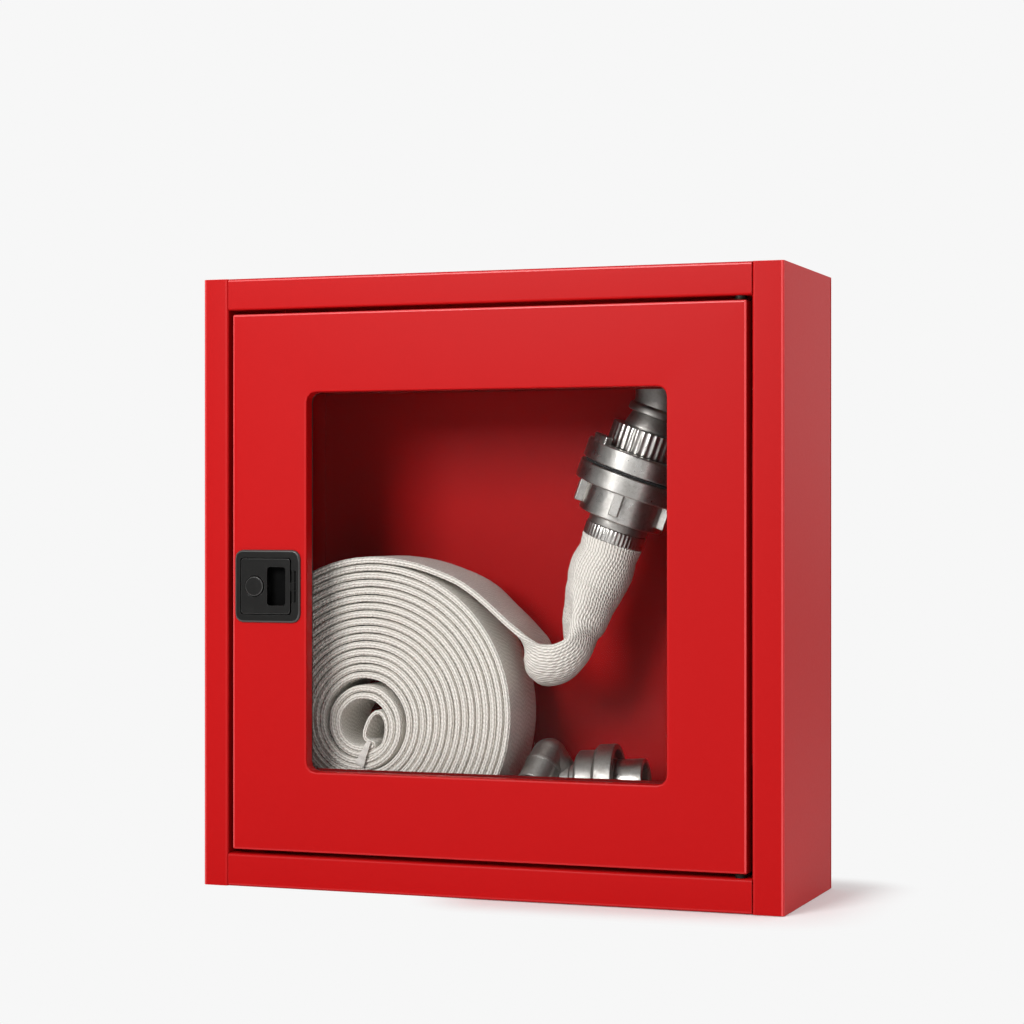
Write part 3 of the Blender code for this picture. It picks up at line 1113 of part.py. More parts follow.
def build_roll(finishes):
    """Makes the doubled roll as one unbroken flat hose from one outer end through the fold to the other."""
    before = WHOLE_TURNS * POINTS_PER_TURN
    gap = FIT / (strand_radius(WHOLE_TURNS, 1) * math.tau / POINTS_PER_TURN)
    outer = [strand_point(step, 1) for step in range(before + LEAD_JOIN_STEP)]
    outer.append(strand_point(before + LEAD_JOIN_STEP - gap, 1))
    inner = [strand_point(step, 0) for step in range(before + RUN_JOIN_STEP)]
    inner.append(strand_point(before + RUN_JOIN_STEP - gap, 0))
    middle = (outer[0] + inner[0]) / 2
    spoke = outer[0] - middle
    bend = [middle + Matrix.Rotation(math.pi * k / 4, 3, "Y").inverted() @ spoke for k in (1, 2, 3)]
    path = outer[::-1] + bend + inner
    ways = tangents([strand_point(before + LEAD_JOIN_STEP + 1, 1), *path, strand_point(before + RUN_JOIN_STEP + 1, 0)])
    loops = [box_section(place, way) for place, way in zip(path, ways[1:])]
    make_object("hose_roll", skin(bmesh.new(), loops, closed=False), finishes["hose"])
    print("least gap of the rolled hose to itself, mm:", round(least_gap(path, POINTS_PER_TURN // 2) * 1000, 2))
    return sum((b - a).length for a, b in zip(path, path[1:]))


def build_hose(finishes):
    """Makes the roll, the lead up to the valve, the run to the far end and the tie in the eye."""
    rolled = build_roll(finishes)
    low = LEAD_ROUTE[-1][0]
    climb = Matrix.Diagonal(COUPLING_FOOT - low)
    rise = tuple((low + climb @ share, side, wide, thick) for share, side, wide, thick in LEAD_RISE)
    lead = free_stretch("hose_lead", last_turn(LEAD_JOIN_STEP - 1, LEAD_LEAVE_STEP, 1), LEAD_ROUTE + rise,
                        COUPLING_FOOT - COUPLING_AXIS * FIT, COUPLING_AXIS, finishes["hose"])
    end_height = FLOOR_TOP + FIT + RING_RADIUS
    foot = Vector((END_COUPLING_X, 0.0, end_height))
    across = Vector((1, 0, 0))
    run = free_stretch("hose_run", last_turn(RUN_JOIN_STEP - 1, RUN_LEAVE_STEP, 0), RUN_ROUTE,
                       foot - across * FIT, across, finishes["hose"])
    end_ring = coupling_half(("end_tail", "end_ferrule", "end_lock_ring"),
                             axis_frame(foot, across, Vector((0, 0, 1))), finishes)
    print("hose lengths, m: roll", round(rolled, 2), "lead", round(lead, 2), "run", round(run, 2))
    face = -HOSE_WIDTH / 2 - FIT
    place = roll_centre() + EYE_SHIFT + TIE_PLACE
    tie = box(Vector((-TIE_WIDTH / 2, face - TIE_THICKNESS, -TIE_LENGTH / 2)), Vector((TIE_WIDTH / 2, face, TIE_LENGTH / 2)))
    tie.transform(Matrix.Translation(place) @ Matrix.Rotation(TIE_ANGLE, 4, "Y"))
    make_object("roll_tie", tie, finishes["hose"])
    return end_ring, foot


def build_branch(finishes):
    """Makes the loose elbow fitting, its ring pair and tail, and the bracket under them; returns the lock ring."""
    alloy = finishes["alloy"]
    axis = BRANCH_AXIS.normalized()
    placement = axis_frame(BRANCH_ORIGIN, axis, Vector((0, 0, 1)))

    def at(height):
        return placement @ Vector((0, 0, height))

    elbow = make_object("branch_elbow", turned((
        (0.0, -NECK_LENGTH), (NECK_RADIUS, -NECK_LENGTH), (NECK_RADIUS, -FIT), (BRANCH_BORE, -FIT),
        (BRANCH_BORE, -NECK_LENGTH / 2), (0.0, -NECK_LENGTH / 2)), placement, FINE_SPIN_STEPS, ring=False), alloy)
    neck_middle = at(-NECK_LENGTH * 0.7)
    leg = (BRANCH_CORNER - BRANCH_MOUTH).normalized()
    bead = BRANCH_MOUTH + leg * BRANCH_BEAD_PLACE
    join(elbow, rod(BRANCH_CORNER, neck_middle, BRANCH_ELBOW_RADIUS - FIT, FINE_SPIN_STEPS))
    join(elbow, ball(BRANCH_CORNER, BRANCH_ELBOW_RADIUS + FIT))
    join(elbow, rod(BRANCH_MOUTH, BRANCH_CORNER, BRANCH_ELBOW_RADIUS - FIT, FINE_SPIN_STEPS + 2))
    join(elbow, rod(bead, bead + leg * BRANCH_BEAD_LENGTH, BRANCH_BEAD_RADIUS, FINE_SPIN_STEPS))
    fall = (neck_middle - BRANCH_CORNER).normalized()
    cut(elbow, rod(BRANCH_MOUTH - leg * OVERCUT, BRANCH_CORNER + leg * OVERCUT, BRANCH_ELBOW_BORE, FINE_SPIN_STEPS))
    cut(elbow, rod(BRANCH_CORNER - fall * OVERCUT, neck_middle + fall * OVERCUT, BRANCH_ELBOW_BORE - FIT,
                   FINE_SPIN_STEPS))
    ring_end = BRANCH_RING_LENGTH
    lock_start = ring_end + FIT
    lock_end = lock_start + BRANCH_LOCK_LENGTH
    tail_start = lock_end + FIT
    tail_end = tail_start + BRANCH_TAIL_LENGTH

    def ring(name, radius, start, end):
        return make_object(name, turned(((BRANCH_BORE, start), (radius, start), (radius, end), (BRANCH_BORE, end)),
                                        placement), alloy)

    ring("branch_ring", BRANCH_RING_RADIUS, 0.0, ring_end)
    lock_ring = ring("branch_lock_ring", BRANCH_LOCK_RADIUS, lock_start, lock_end)
    ring("branch_tail", BRANCH_TAIL_RADIUS, tail_start, tail_end)
    centre = at((lock_start + lock_end) / 2)
    drop = BRANCH_LOCK_RADIUS * math.hypot(axis.x, axis.y) + BRANCH_LOCK_LENGTH / 2 * abs(axis.z)
    top = centre.z - drop - FIT
    rear = FLANGE_REAR - SHEET - FIT
    front = centre.y - BRANCH_LOCK_RADIUS - BRACKET_SHEET
    under = top - BRACKET_SHEET
    path = ((rear, top + BRACKET_PLATE), (rear, under), (front, under), (front, top + BRACKET_LIP))
    outline = folded(path, -1, BRACKET_SHEET, 2 * BRACKET_SHEET)
    make_object("branch_bracket", prism(outline, Vector((centre.x - BRACKET_WIDTH / 2, 0, 0)), Vector((0, 1, 0)),
                                        Vector((0, 0, 1)), Vector((BRACKET_WIDTH, 0, 0))), finishes["paint"])
    return lock_ring, centre


def main():
    """Builds the whole cabinet."""
    clear_scene()
    finishes = make_finishes()
    paint = finishes["paint"]
    build_side_panels(paint)
    build_rail_panel("top_panel", CASE_HEIGHT - TOP_RAIL, CASE_HEIGHT, -1, paint)
    build_rail_panel("bottom_panel", BOTTOM_RAIL, 0.0, 1, paint)
    build_floor_shelf(paint)
    build_stop_brackets(paint)
    hose_ring, outlet = build_coupling(finishes)
    wheel_pieces, disc_pieces, valve_place = build_valve(outlet, finishes)
    build_back_panel(paint, valve_place.x, valve_place.z)
    bushes = build_hinges(finishes["steel"], finishes["brass"])
    door = build_door_panel(paint)
    glazing = build_glazing(finishes)
    fixed_latch, flap_pieces, lock_pieces = build_latch(finishes)
    end_ring, end_place = build_hose(finishes)
    branch_ring, branch_place = build_branch(finishes)
    hang_on_pivot("door_pivot", Vector((HINGE_X, HINGE_Y, 0.0)), door, *bushes, *glazing, *fixed_latch)
    hang_on_pivot("flap_pivot", Vector((FLAP_AXIS_X, FLAP_AXIS_Y, LATCH_Z)), *flap_pieces)
    hang_on_pivot("lock_pivot", Vector((KNOB_X, BEZEL_FRONT, LATCH_Z)), *lock_pieces)
    hang_on_pivot("handwheel_pivot", valve_place, *wheel_pieces)
    hang_on_pivot("disc_pivot", valve_place, *disc_pieces)
    hang_on_pivot("hose_ring_pivot", COUPLING_FOOT, hose_ring)
    hang_on_pivot("end_ring_pivot", end_place, end_ring)
    hang_on_pivot("branch_ring_pivot", branch_place, branch_ring)


main()
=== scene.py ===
"""Dressing of the standpipe cabinet: finishes, hose, couplings, latch, sheet metal and studio."""
import json
import logging
import math
from dataclasses import dataclass, field
from enum import Enum
from typing import Iterable, Sequence

import bmesh
import bpy
from mathutils import Matrix, Vector, noise

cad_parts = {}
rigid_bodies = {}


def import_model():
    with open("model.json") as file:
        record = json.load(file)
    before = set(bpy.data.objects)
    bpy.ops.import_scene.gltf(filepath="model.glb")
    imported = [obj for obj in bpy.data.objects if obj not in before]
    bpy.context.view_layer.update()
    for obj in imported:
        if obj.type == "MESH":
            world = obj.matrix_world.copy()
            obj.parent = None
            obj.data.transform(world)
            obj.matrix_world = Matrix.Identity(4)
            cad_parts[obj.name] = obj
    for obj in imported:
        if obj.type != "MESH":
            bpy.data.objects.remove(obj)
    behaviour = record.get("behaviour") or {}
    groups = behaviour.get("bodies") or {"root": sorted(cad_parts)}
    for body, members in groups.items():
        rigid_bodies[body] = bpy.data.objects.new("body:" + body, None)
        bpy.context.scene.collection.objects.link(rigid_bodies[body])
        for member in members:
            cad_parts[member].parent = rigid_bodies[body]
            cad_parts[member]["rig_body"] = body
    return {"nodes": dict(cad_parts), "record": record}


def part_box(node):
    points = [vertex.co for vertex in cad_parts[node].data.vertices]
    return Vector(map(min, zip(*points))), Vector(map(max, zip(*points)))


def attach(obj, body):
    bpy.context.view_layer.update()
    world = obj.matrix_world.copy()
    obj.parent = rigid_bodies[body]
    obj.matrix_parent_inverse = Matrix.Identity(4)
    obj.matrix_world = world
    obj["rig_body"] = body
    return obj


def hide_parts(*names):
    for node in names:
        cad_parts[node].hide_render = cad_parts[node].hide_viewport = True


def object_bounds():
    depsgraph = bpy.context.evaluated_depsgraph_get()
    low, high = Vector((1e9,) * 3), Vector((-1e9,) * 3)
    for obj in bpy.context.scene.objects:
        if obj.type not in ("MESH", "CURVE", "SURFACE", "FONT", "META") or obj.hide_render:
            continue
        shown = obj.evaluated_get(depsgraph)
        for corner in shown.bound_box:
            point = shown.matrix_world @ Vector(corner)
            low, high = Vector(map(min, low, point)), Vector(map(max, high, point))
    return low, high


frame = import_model()
CAD_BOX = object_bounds()
LOG = logging.getLogger("cabinet")

Colour = tuple[float, float, float]
Profile = Sequence[tuple[float, float]]
FIT = 0.0003
FRONT = -0.1025
FLOOR_TOP = 0.030


class Slot(Enum):
    """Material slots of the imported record."""

    PAINT = "red_paint"
    PLASTIC = "black_plastic"
    PANE = "clear_pane"
    RUBBER = "black_rubber"
    STEEL = "zinc_steel"
    ALLOY = "cast_alloy"
    BRASS = "brass"
    WHEEL = "wheel_paint"
    HOSE = "woven_hose"


class Value:
    """A shader socket that takes part in Python arithmetic."""

    def __init__(self, graph: "Graph", socket: bpy.types.NodeSocket) -> None:
        """Keeps the socket and the graph that owns it."""
        self.graph = graph
        self.socket = socket

    def __add__(self, other: "Value | float") -> "Value":
        """Adds a value or a number."""
        return self.graph.math("ADD", self, other)

    __radd__ = __add__

    def __sub__(self, other: "Value | float") -> "Value":
        """Takes a value or a number away."""
        return self.graph.math("SUBTRACT", self, other)

    def __rsub__(self, other: float) -> "Value":
        """Takes this value from a number."""
        return self.graph.math("SUBTRACT", other, self)

    def __mul__(self, other: "Value | float") -> "Value":
        """Multiplies by a value or a number."""
        return self.graph.math("MULTIPLY", self, other)

    __rmul__ = __mul__

    def __truediv__(self, other: "Value | float") -> "Value":
        """Divides by a value or a number."""
        return self.graph.math("DIVIDE", self, other)

    def __rtruediv__(self, other: float) -> "Value":
        """Divides a number by this value."""
        return self.graph.math("DIVIDE", other, self)

    def __pow__(self, other: "Value | float") -> "Value":
        """Raises to a power."""
        return self.graph.math("POWER", self, other)

    def __abs__(self) -> "Value":
        """Drops the sign."""
        return self.graph.math("ABSOLUTE", self)

    def sine(self) -> "Value":
        """Takes the sine."""
        return self.graph.math("SINE", self)

    def floor(self) -> "Value":
        """Rounds down."""
        return self.graph.math("FLOOR", self)

    def most(self, other: "Value | float") -> "Value":
        """Takes the larger of two."""
        return self.graph.math("MAXIMUM", self, other)

    def between(self, low: float, high: float) -> "Value":
        """Rises smoothly from 0 at low to 1 at high."""
        return self.graph.node("ShaderNodeMapRange", {"interpolation_type": "SMOOTHSTEP"},
                               {"Value": self, "From Min": low, "From Max": high})

    def out(self, name: str) -> "Value":
        """Gives another output of the same node."""
        return Value(self.graph, self.socket.node.outputs[name])


class Graph:
    """A node tree that is written as expressions."""

    def __init__(self, tree: bpy.types.NodeTree) -> None:
        """Keeps the tree."""
        self.tree = tree

    @classmethod
    def for_material(cls, name: str) -> "Graph":
        """Starts a new material.

        Args:
            name: The material's name.

        Returns:
            The graph of its nodes.
        """
        material = bpy.data.materials.new(name)
        material.use_nodes = True
        graph = cls(material.node_tree)
        graph.material = material
        return graph

    def feed(self, socket: bpy.types.NodeSocket, value: "Value | float | Sequence[float]") -> None:
        """Links a value to a socket, or sets the socket to a number or colour."""
        if isinstance(value, Value):
            self.tree.links.new(value.socket, socket)
        elif socket.type == "RGBA" and len(value) == 3:
            socket.default_value = (*value, 1.0)
        else:
            socket.default_value = value

    def node(self, kind: str, settings: dict | None = None, inputs: dict | None = None,
             output: int | str = 0) -> Value:
        """Adds a node.

        Args:
            kind: The node's type.
            settings: Its properties, set first; stops fill a colour ramp.
            inputs: Values or links by socket name or number.
            output: The output to return.

        Returns:
            The chosen output.
        """
        made = self.tree.nodes.new(kind)
        for key, value in (settings or {}).items():
            if key == "stops":
                for at, shade in value:
                    stop = made.color_ramp.elements.new(at)
                    stop.color = (*shade, 1.0)
            else:
                setattr(made, key, value)
        for key, value in (inputs or {}).items():
            self.feed(made.inputs[key], value)
        return Value(self, made.outputs[output])

    def math(self, operation: str, *terms: "Value | float") -> Value:
        """Adds a Math node."""
        return self.node("ShaderNodeMath", {"operation": operation}, dict(enumerate(terms)))

    def place(self, scale: tuple[float, float, float] = (1.0, 1.0, 1.0)) -> Value:
        """Gives Object coordinates, stretched by a scale."""
        whole = self.node("ShaderNodeTexCoord", output="Object")
        return self.node("ShaderNodeMapping", {}, {"Vector": whole, "Scale": scale})

    def along_and_around(self) -> tuple[Value, Value]:
        """Gives the two parts of the piece's own UV map, in metres."""
        split = self.node("ShaderNodeSeparateXYZ", {}, {0: self.node("ShaderNodeTexCoord", output="UV")})
        return split, split.out("Y")

    def marked(self, name: str) -> Value:
        """Gives the mark that faces were given when they were made, such as edge, which carries the painted edge
        highlight, and deep, which carries the painted recess shade.
        """
        return self.node("ShaderNodeAttribute", {"attribute_name": name}, output="Fac")

    def noise(self, place: Value, scale: float, detail: float = 2.0, rough: float = 0.5) -> Value:
        """Adds a cloud of a given size and detail."""
        return self.node("ShaderNodeTexNoise", {}, {"Vector": place, "Scale": scale, "Detail": detail,
                                                    "Roughness": rough})

    def mix(self, share: "Value | float", first: "Value | Colour", second: "Value | Colour") -> Value:
        """Mixes two colours."""
        return self.node("ShaderNodeMix", {"data_type": "RGBA"}, {0: share, 6: first, 7: second}, 2)

    def bump(self, height: Value, strength: float, distance: float) -> Value:
        """Turns a height into a normal."""
        return self.node("ShaderNodeBump", {}, {"Strength": strength, "Distance": distance, "Height": height})

    def surface(self, inputs: dict) -> bpy.types.Material:
        """Feeds the Principled shader.

        Args:
            inputs: Values or links by socket name.

        Returns:
            The finished material.
        """
        shader = self.tree.nodes["Principled BSDF"]
        for key, value in inputs.items():
            self.feed(shader.inputs[key], value)
        return self.material


@dataclass(frozen=True)
class Paint:
    """Satin powder coat with a fine orange peel, and a painted highlight: a lighter colour and a clear coat on marked
    edges.
    """

    name: str = "powder_coat"
    colour: Colour = (0.425, 0.0034, 0.0040)
    deep: Colour = (0.395, 0.0028, 0.0034)
    speck: Colour = (0.480, 0.008, 0.009)
    roughness: float = 0.40
    peel: float = 430.0
    # Lighter red painted on marked edges and bends as a painted highlight.
    edge: Colour = (0.66, 0.060, 0.062)

    def material(self) -> bpy.types.Material:
        """Builds the coat."""
        graph = Graph.for_material(self.name)
        place = graph.place()
        cloud = graph.noise(place, 3.1, 3.0)
        peel = graph.noise(place, self.peel, 2.0)
        speck = graph.noise(place, 1500.0, 1.0).between(0.60, 0.75)
        # worn holds the edge mark and is not wear: it paints the lighter edge colour and clear coat as a painted
        # highlight.
        worn = graph.marked("edge")
        tone = graph.mix(cloud, self.deep, self.colour)
        return graph.surface({
            "Base Color": graph.mix(worn, graph.mix(speck * 0.10, tone, self.speck), self.edge),
            "Roughness": self.roughness - 0.04 + peel * 0.06 + cloud * 0.03,
            "Specular IOR Level": 0.075,
            "Coat Weight": worn * 0.5,
            "Coat Roughness": 0.30,
            "Normal": graph.bump(peel, 0.10, 0.0006),
        })


@dataclass(frozen=True)
class Plastic:
    """Black moulded plastic with a spark grain and slightly rubbed high spots, a painted highlight on marked edges and
    painted shade on recess floors.
    """

    name: str = "latch_plastic"
    colour: Colour = (0.0068, 0.0066, 0.0061)
    rubbed: Colour = (0.0115, 0.0110, 0.0102)
    # Grey painted on marked edges as a painted highlight.
    edge: Colour = (0.045, 0.044, 0.042)
    # Near-black painted on recess floors as painted shade.
    recess_painted_shade: Colour = (0.0012, 0.0012, 0.0012)
    roughness: float = 0.40

    def material(self) -> bpy.types.Material:
        """Builds the plastic."""
        graph = Graph.for_material(self.name)
        place = graph.place()
        grain = graph.noise(place, 1500.0, 2.0)
        rub = graph.noise(place, 70.0, 3.0).between(0.50, 0.72)
        # worn holds the edge mark and is not wear: it paints a grey painted highlight; deep marks recess floors, which
        # are painted near-black as painted shade.
        worn, deep = graph.marked("edge"), graph.marked("deep")
        face = graph.mix(worn, graph.mix(rub * 0.6, self.colour, self.rubbed), self.edge)
        return graph.surface({
            "Base Color": graph.mix(deep, face, self.recess_painted_shade),
            "Roughness": self.roughness + grain * 0.10 - rub * 0.06 + deep * 0.45,
            "Specular IOR Level": 0.11,
            "Coat Weight": worn * 0.65,
            "Coat Roughness": 0.28,
            "Normal": graph.bump(grain, 0.25, 0.0004),
        })


@dataclass(frozen=True)
class Pane:
    """Clear sheet with the faintest smears."""

    name: str = "window_glass"
    tint: Colour = (0.010, 0.012, 0.012)
    cover: float = 0.045

    def material(self) -> bpy.types.Material:
        """Builds the pane."""
        graph = Graph.for_material(self.name)
        smear = graph.noise(graph.place((1.0, 1.0, 2.6)), 7.0, 3.0)
        return graph.surface({
            "Base Color": self.tint,
            "Roughness": 0.04 + smear * 0.05,
            "IOR": 1.49,
            "Alpha": self.cover + smear.between(0.55, 0.85) * 0.012,
        })


@dataclass(frozen=True)
class Rubber:
    """Matt black rubber."""

    name: str = "seal_rubber"
    colour: Colour = (0.016, 0.016, 0.016)

    def material(self) -> bpy.types.Material:
        """Builds the rubber."""
        graph = Graph.for_material(self.name)
        grain = graph.noise(graph.place(), 900.0, 3.0)
        return graph.surface({
            "Base Color": graph.mix(grain, self.colour, (0.028, 0.027, 0.026)),
            "Roughness": 0.66 + grain * 0.18,
            "Normal": graph.bump(grain, 0.3, 0.0003),
        })


@dataclass(frozen=True)
class Metal:
    """Bare metal: casting skin, turning marks or plating, by its numbers."""

    name: str
    colour: Colour
    stain: Colour
    roughness: float
    grain_scale: float = 260.0
    grain_depth: float = 0.25
    stretch: tuple[float, float, float] = (1.0, 1.0, 1.0)

    def material(self) -> bpy.types.Material:
        """Builds the metal."""
        graph = Graph.for_material(self.name)
        place = graph.place()
        cloud = graph.noise(place, 38.0, 4.0, 0.6)
        grain = graph.noise(graph.place(self.stretch), self.grain_scale, 4.0, 0.65)
        pit = graph.noise(place, 520.0, 2.0).between(0.66, 0.78)
        worn = graph.noise(place, 150.0, 5.0, 0.72).between(0.44, 0.66)
        tone = graph.mix(cloud.between(0.35, 0.75) * 0.6 + worn * 0.4, self.colour, self.stain)
        return graph.surface({
            "Base Color": graph.mix(pit * 0.45, tone, (0.09, 0.085, 0.08)),
            "Metallic": 1.0,
            "Roughness": self.roughness + cloud * 0.12 + grain * 0.10 + worn * 0.12 - 0.13,
            "Normal": graph.bump(grain - pit * 0.6 - worn * 0.35, self.grain_depth, 0.0004),
        })


@dataclass(frozen=True)
class Weave:
    """Undyed hose jacket: ribs along the hose, crossed by a staggered thread."""

    name: str = "hose_weave"
    colour: Colour = (0.935, 0.900, 0.835)
    shade: Colour = (0.480, 0.440, 0.380)
    soil: Colour = (0.78, 0.72, 0.64)
    rib: float = 0.0034
    thread: float = 0.0050
    relief: float = 0.0014

    def material(self) -> bpy.types.Material:
        """Builds the weave."""
        graph = Graph.for_material(self.name)
        along, around = graph.along_and_around()
        place = graph.place()
        waver = graph.noise(place, 160.0, 2.0)
        row = around / self.rib + waver * 0.30
        cell = row - row.floor()
        crown = 1 - abs(cell * 2.0 - 1.0) ** 2.4
        lean = cell * 0.55 + (row.floor() * 2.4).sine() * 0.5
        stitch = ((along / self.thread + lean + waver * 0.22) * math.tau).sine() * 0.5 + 0.5
        height = crown * (0.40 + stitch * 0.60)
        cloud = graph.noise(place, 11.0, 3.0)
        fuzz = graph.noise(place, 900.0, 2.0)
        tone = graph.mix(height.between(0.06, 0.60), self.shade, self.colour)
        soiled = graph.mix(cloud.between(0.48, 0.80) * 0.30, tone, self.soil)
        return graph.surface({
            "Base Color": graph.mix(fuzz * 0.12, soiled, self.colour),
            "Roughness": 0.90 - height * 0.10,
            "Specular IOR Level": 0.25,
            "Sheen Weight": 0.18,
            "Sheen Roughness": 0.45,
            "Normal": graph.bump(height + fuzz * 0.25, 0.85, self.relief),
        })


@dataclass
class Palette:
    """The finishes of the cabinet, each made once."""

    paint: bpy.types.Material = field(default_factory=lambda: Paint().material())
    plastic: bpy.types.Material = field(default_factory=lambda: Plastic().material())
    pane: bpy.types.Material = field(default_factory=lambda: Pane().material())
    rubber: bpy.types.Material = field(default_factory=lambda: Rubber().material())
    weave: bpy.types.Material = field(default_factory=lambda: Weave().material())
    tape: bpy.types.Material = field(default_factory=lambda: Weave(
        "tape_weave", (0.90, 0.87, 0.82), (0.70, 0.66, 0.60), (0.80, 0.75, 0.68), 0.0011, 0.0016, 0.0005).material())
    # Red paint darkened to under half: painted shade for the glazing strips, which show through the window.
    shaded_strip_paint: bpy.types.Material = field(default_factory=lambda: Paint(
        "strip_paint_painted_shade", (0.190, 0.0032, 0.0034), (0.160, 0.0026, 0.0028), (0.21, 0.006, 0.006), 0.60).material())
    # Near-black steel for the hinge pins: painted shade, so they read as the dark door gap.
    pin_steel_painted_shade: bpy.types.Material = field(default_factory=lambda: Metal(
        "pin_steel_darkened_to_shade", (0.030, 0.028, 0.026), (0.018, 0.017, 0.016), 0.55, 500.0, 0.10).material())
    # Near-black bronze for the hinge bushes: painted shade, so they read as the dark door gap.
    bush_metal_painted_shade: bpy.types.Material = field(default_factory=lambda: Metal(
        "bush_bronze_darkened_to_shade", (0.030, 0.018, 0.012), (0.020, 0.013, 0.009), 0.58, 500.0, 0.20).material())
    alloy: bpy.types.Material = field(default_factory=lambda: Metal(
        "turned_alloy", (0.58, 0.565, 0.54), (0.31, 0.295, 0.27), 0.32, 300.0, 0.20).material())
    casting: bpy.types.Material = field(default_factory=lambda: Metal(
        "cast_alloy_skin", (0.42, 0.405, 0.385), (0.30, 0.285, 0.265), 0.43, 420.0, 0.45).material())
    steel: bpy.types.Material = field(default_factory=lambda: Metal(
        "plated_steel", (0.62, 0.62, 0.61), (0.50, 0.49, 0.46), 0.34, 600.0, 0.10).material())
    brass: bpy.types.Material = field(default_factory=lambda: Metal(
        "valve_brass", (0.66, 0.47, 0.22), (0.48, 0.32, 0.14), 0.36, 350.0, 0.20).material())
    wheel: bpy.types.Material = field(default_factory=lambda: Paint(
        "wheel_enamel", (0.42, 0.012, 0.013), (0.36, 0.010, 0.011), (0.48, 0.020, 0.021), 0.30, 240.0).material())

    def for_slot(self, slot: Slot) -> bpy.types.Material:
        """Gives the finish that a record slot takes."""
        return {
            Slot.PAINT: self.paint, Slot.PLASTIC: self.plastic, Slot.PANE: self.pane, Slot.RUBBER: self.rubber,
            Slot.STEEL: self.steel, Slot.ALLOY: self.alloy, Slot.BRASS: self.brass, Slot.WHEEL: self.wheel,
            Slot.HOSE: self.weave,
        }[slot]


def axis_frame(origin: Vector, axis: Vector, side: Vector) -> Matrix:
    """Finds the placement whose Z runs along an axis and whose X points to a side.

    Args:
        origin: The placement's origin.
        axis: The direction of its Z.
        side: The direction that its X leans to.

    Returns:
        The placement.
    """
    up = axis.normalized()
    across = (side - up * side.dot(up)).normalized()
    turn = Matrix((across, up.cross(across), up)).transposed()
    return Matrix.Translation(origin) @ turn.to_4x4()


def turned(profile: Profile, placement: Matrix, soft: float = 0.0, closed: bool = True, steps: int = 72) -> bmesh.types.BMesh:
    """Spins a profile of radius and height round the placement's Z.

    Args:
        profile: Radius and height of each corner, in order.
        placement: Where the turned shape stands.
        soft: How far each corner is rounded back.
        closed: True for a ring profile, False for one that ends on the axis.
        steps: Steps of the spin.

    Returns:
        The turned shape.
    """
    mesh = bmesh.new()
    corners = [mesh.verts.new((radius, 0.0, height)) for radius, height in profile]
    for start, end in zip(corners, corners[1:] + corners[:1] if closed else corners[1:]):
        mesh.edges.new((start, end))
    if soft:
        worn = corners if closed else corners[1:-1]
        bmesh.ops.bevel(mesh, geom=worn, offset=soft, offset_type="OFFSET", affect="VERTICES", segments=3,
                        profile=0.5, material=-1, clamp_overlap=True)
    bmesh.ops.spin(mesh, geom=list(mesh.verts) + list(mesh.edges), cent=(0, 0, 0), axis=(0, 0, 1), angle=math.tau,
                   steps=steps, use_merge=True, use_duplicate=False)
    bmesh.ops.remove_doubles(mesh, verts=mesh.verts, dist=1e-6)
    mesh.transform(placement)
    return mesh


def lofted(rows: Sequence[Sequence[Vector]], closed: bool) -> tuple[bmesh.types.BMesh, list[list[bmesh.types.BMVert]]]:
    """Draws a loop of points through a row of places by extruding it.

    Args:
        rows: The loop's points at each place, all of one count.
        closed: True to join the last loop to the first, False to cap both.

    Returns:
        The shape, and its vertices row by row.
    """
    mesh = bmesh.new()
    loop = [mesh.verts.new(point) for point in rows[0]]
    ring = [mesh.edges.new(pair) for pair in zip(loop, loop[1:] + loop[:1])]
    first_ring, kept = ring, [loop]
    for row in rows[1:]:
        column = {vert: i for i, vert in enumerate(loop)}
        grown = bmesh.ops.extrude_edge_only(mesh, edges=ring)["geom"]
        fresh = {item for item in grown if isinstance(item, bmesh.types.BMVert)}
        ring = [item for item in grown if isinstance(item, bmesh.types.BMEdge) and set(item.verts) <= fresh]
        loop = [None] * len(row)
        for vert in fresh:
            near = next(e.other_vert(vert) for e in vert.link_edges if e.other_vert(vert) in column)
            loop[column[near]] = vert
        for vert, point in zip(loop, row):
            vert.co = point
        kept.append(loop)
    if closed:
        bmesh.ops.bridge_loops(mesh, edges=first_ring + ring)
    else:
        for end in (kept[0], kept[-1]):
            bmesh.ops.contextual_create(mesh, geom=end)
    return mesh, kept


def circle(placement: Matrix, radius: float, count: int, waves: int = 0, depth: float = 0.0) -> list[Vector]:
    """Gives points round a circle, with flutes where waves are asked for.

    Args:
        placement: The circle's plane.
        radius: Its radius at the crests.
        count: How many points.
        waves: How many flutes.
        depth: Their depth.

    Returns:
        The points.
    """
    points = []
    for i in range(count):
        angle = math.tau * i / count
        reach = radius - depth * (0.5 - 0.5 * math.cos(waves * angle)) ** 0.7 if waves else radius
        points.append(placement @ Vector((reach * math.cos(angle), reach * math.sin(angle), 0.0)))
    return points


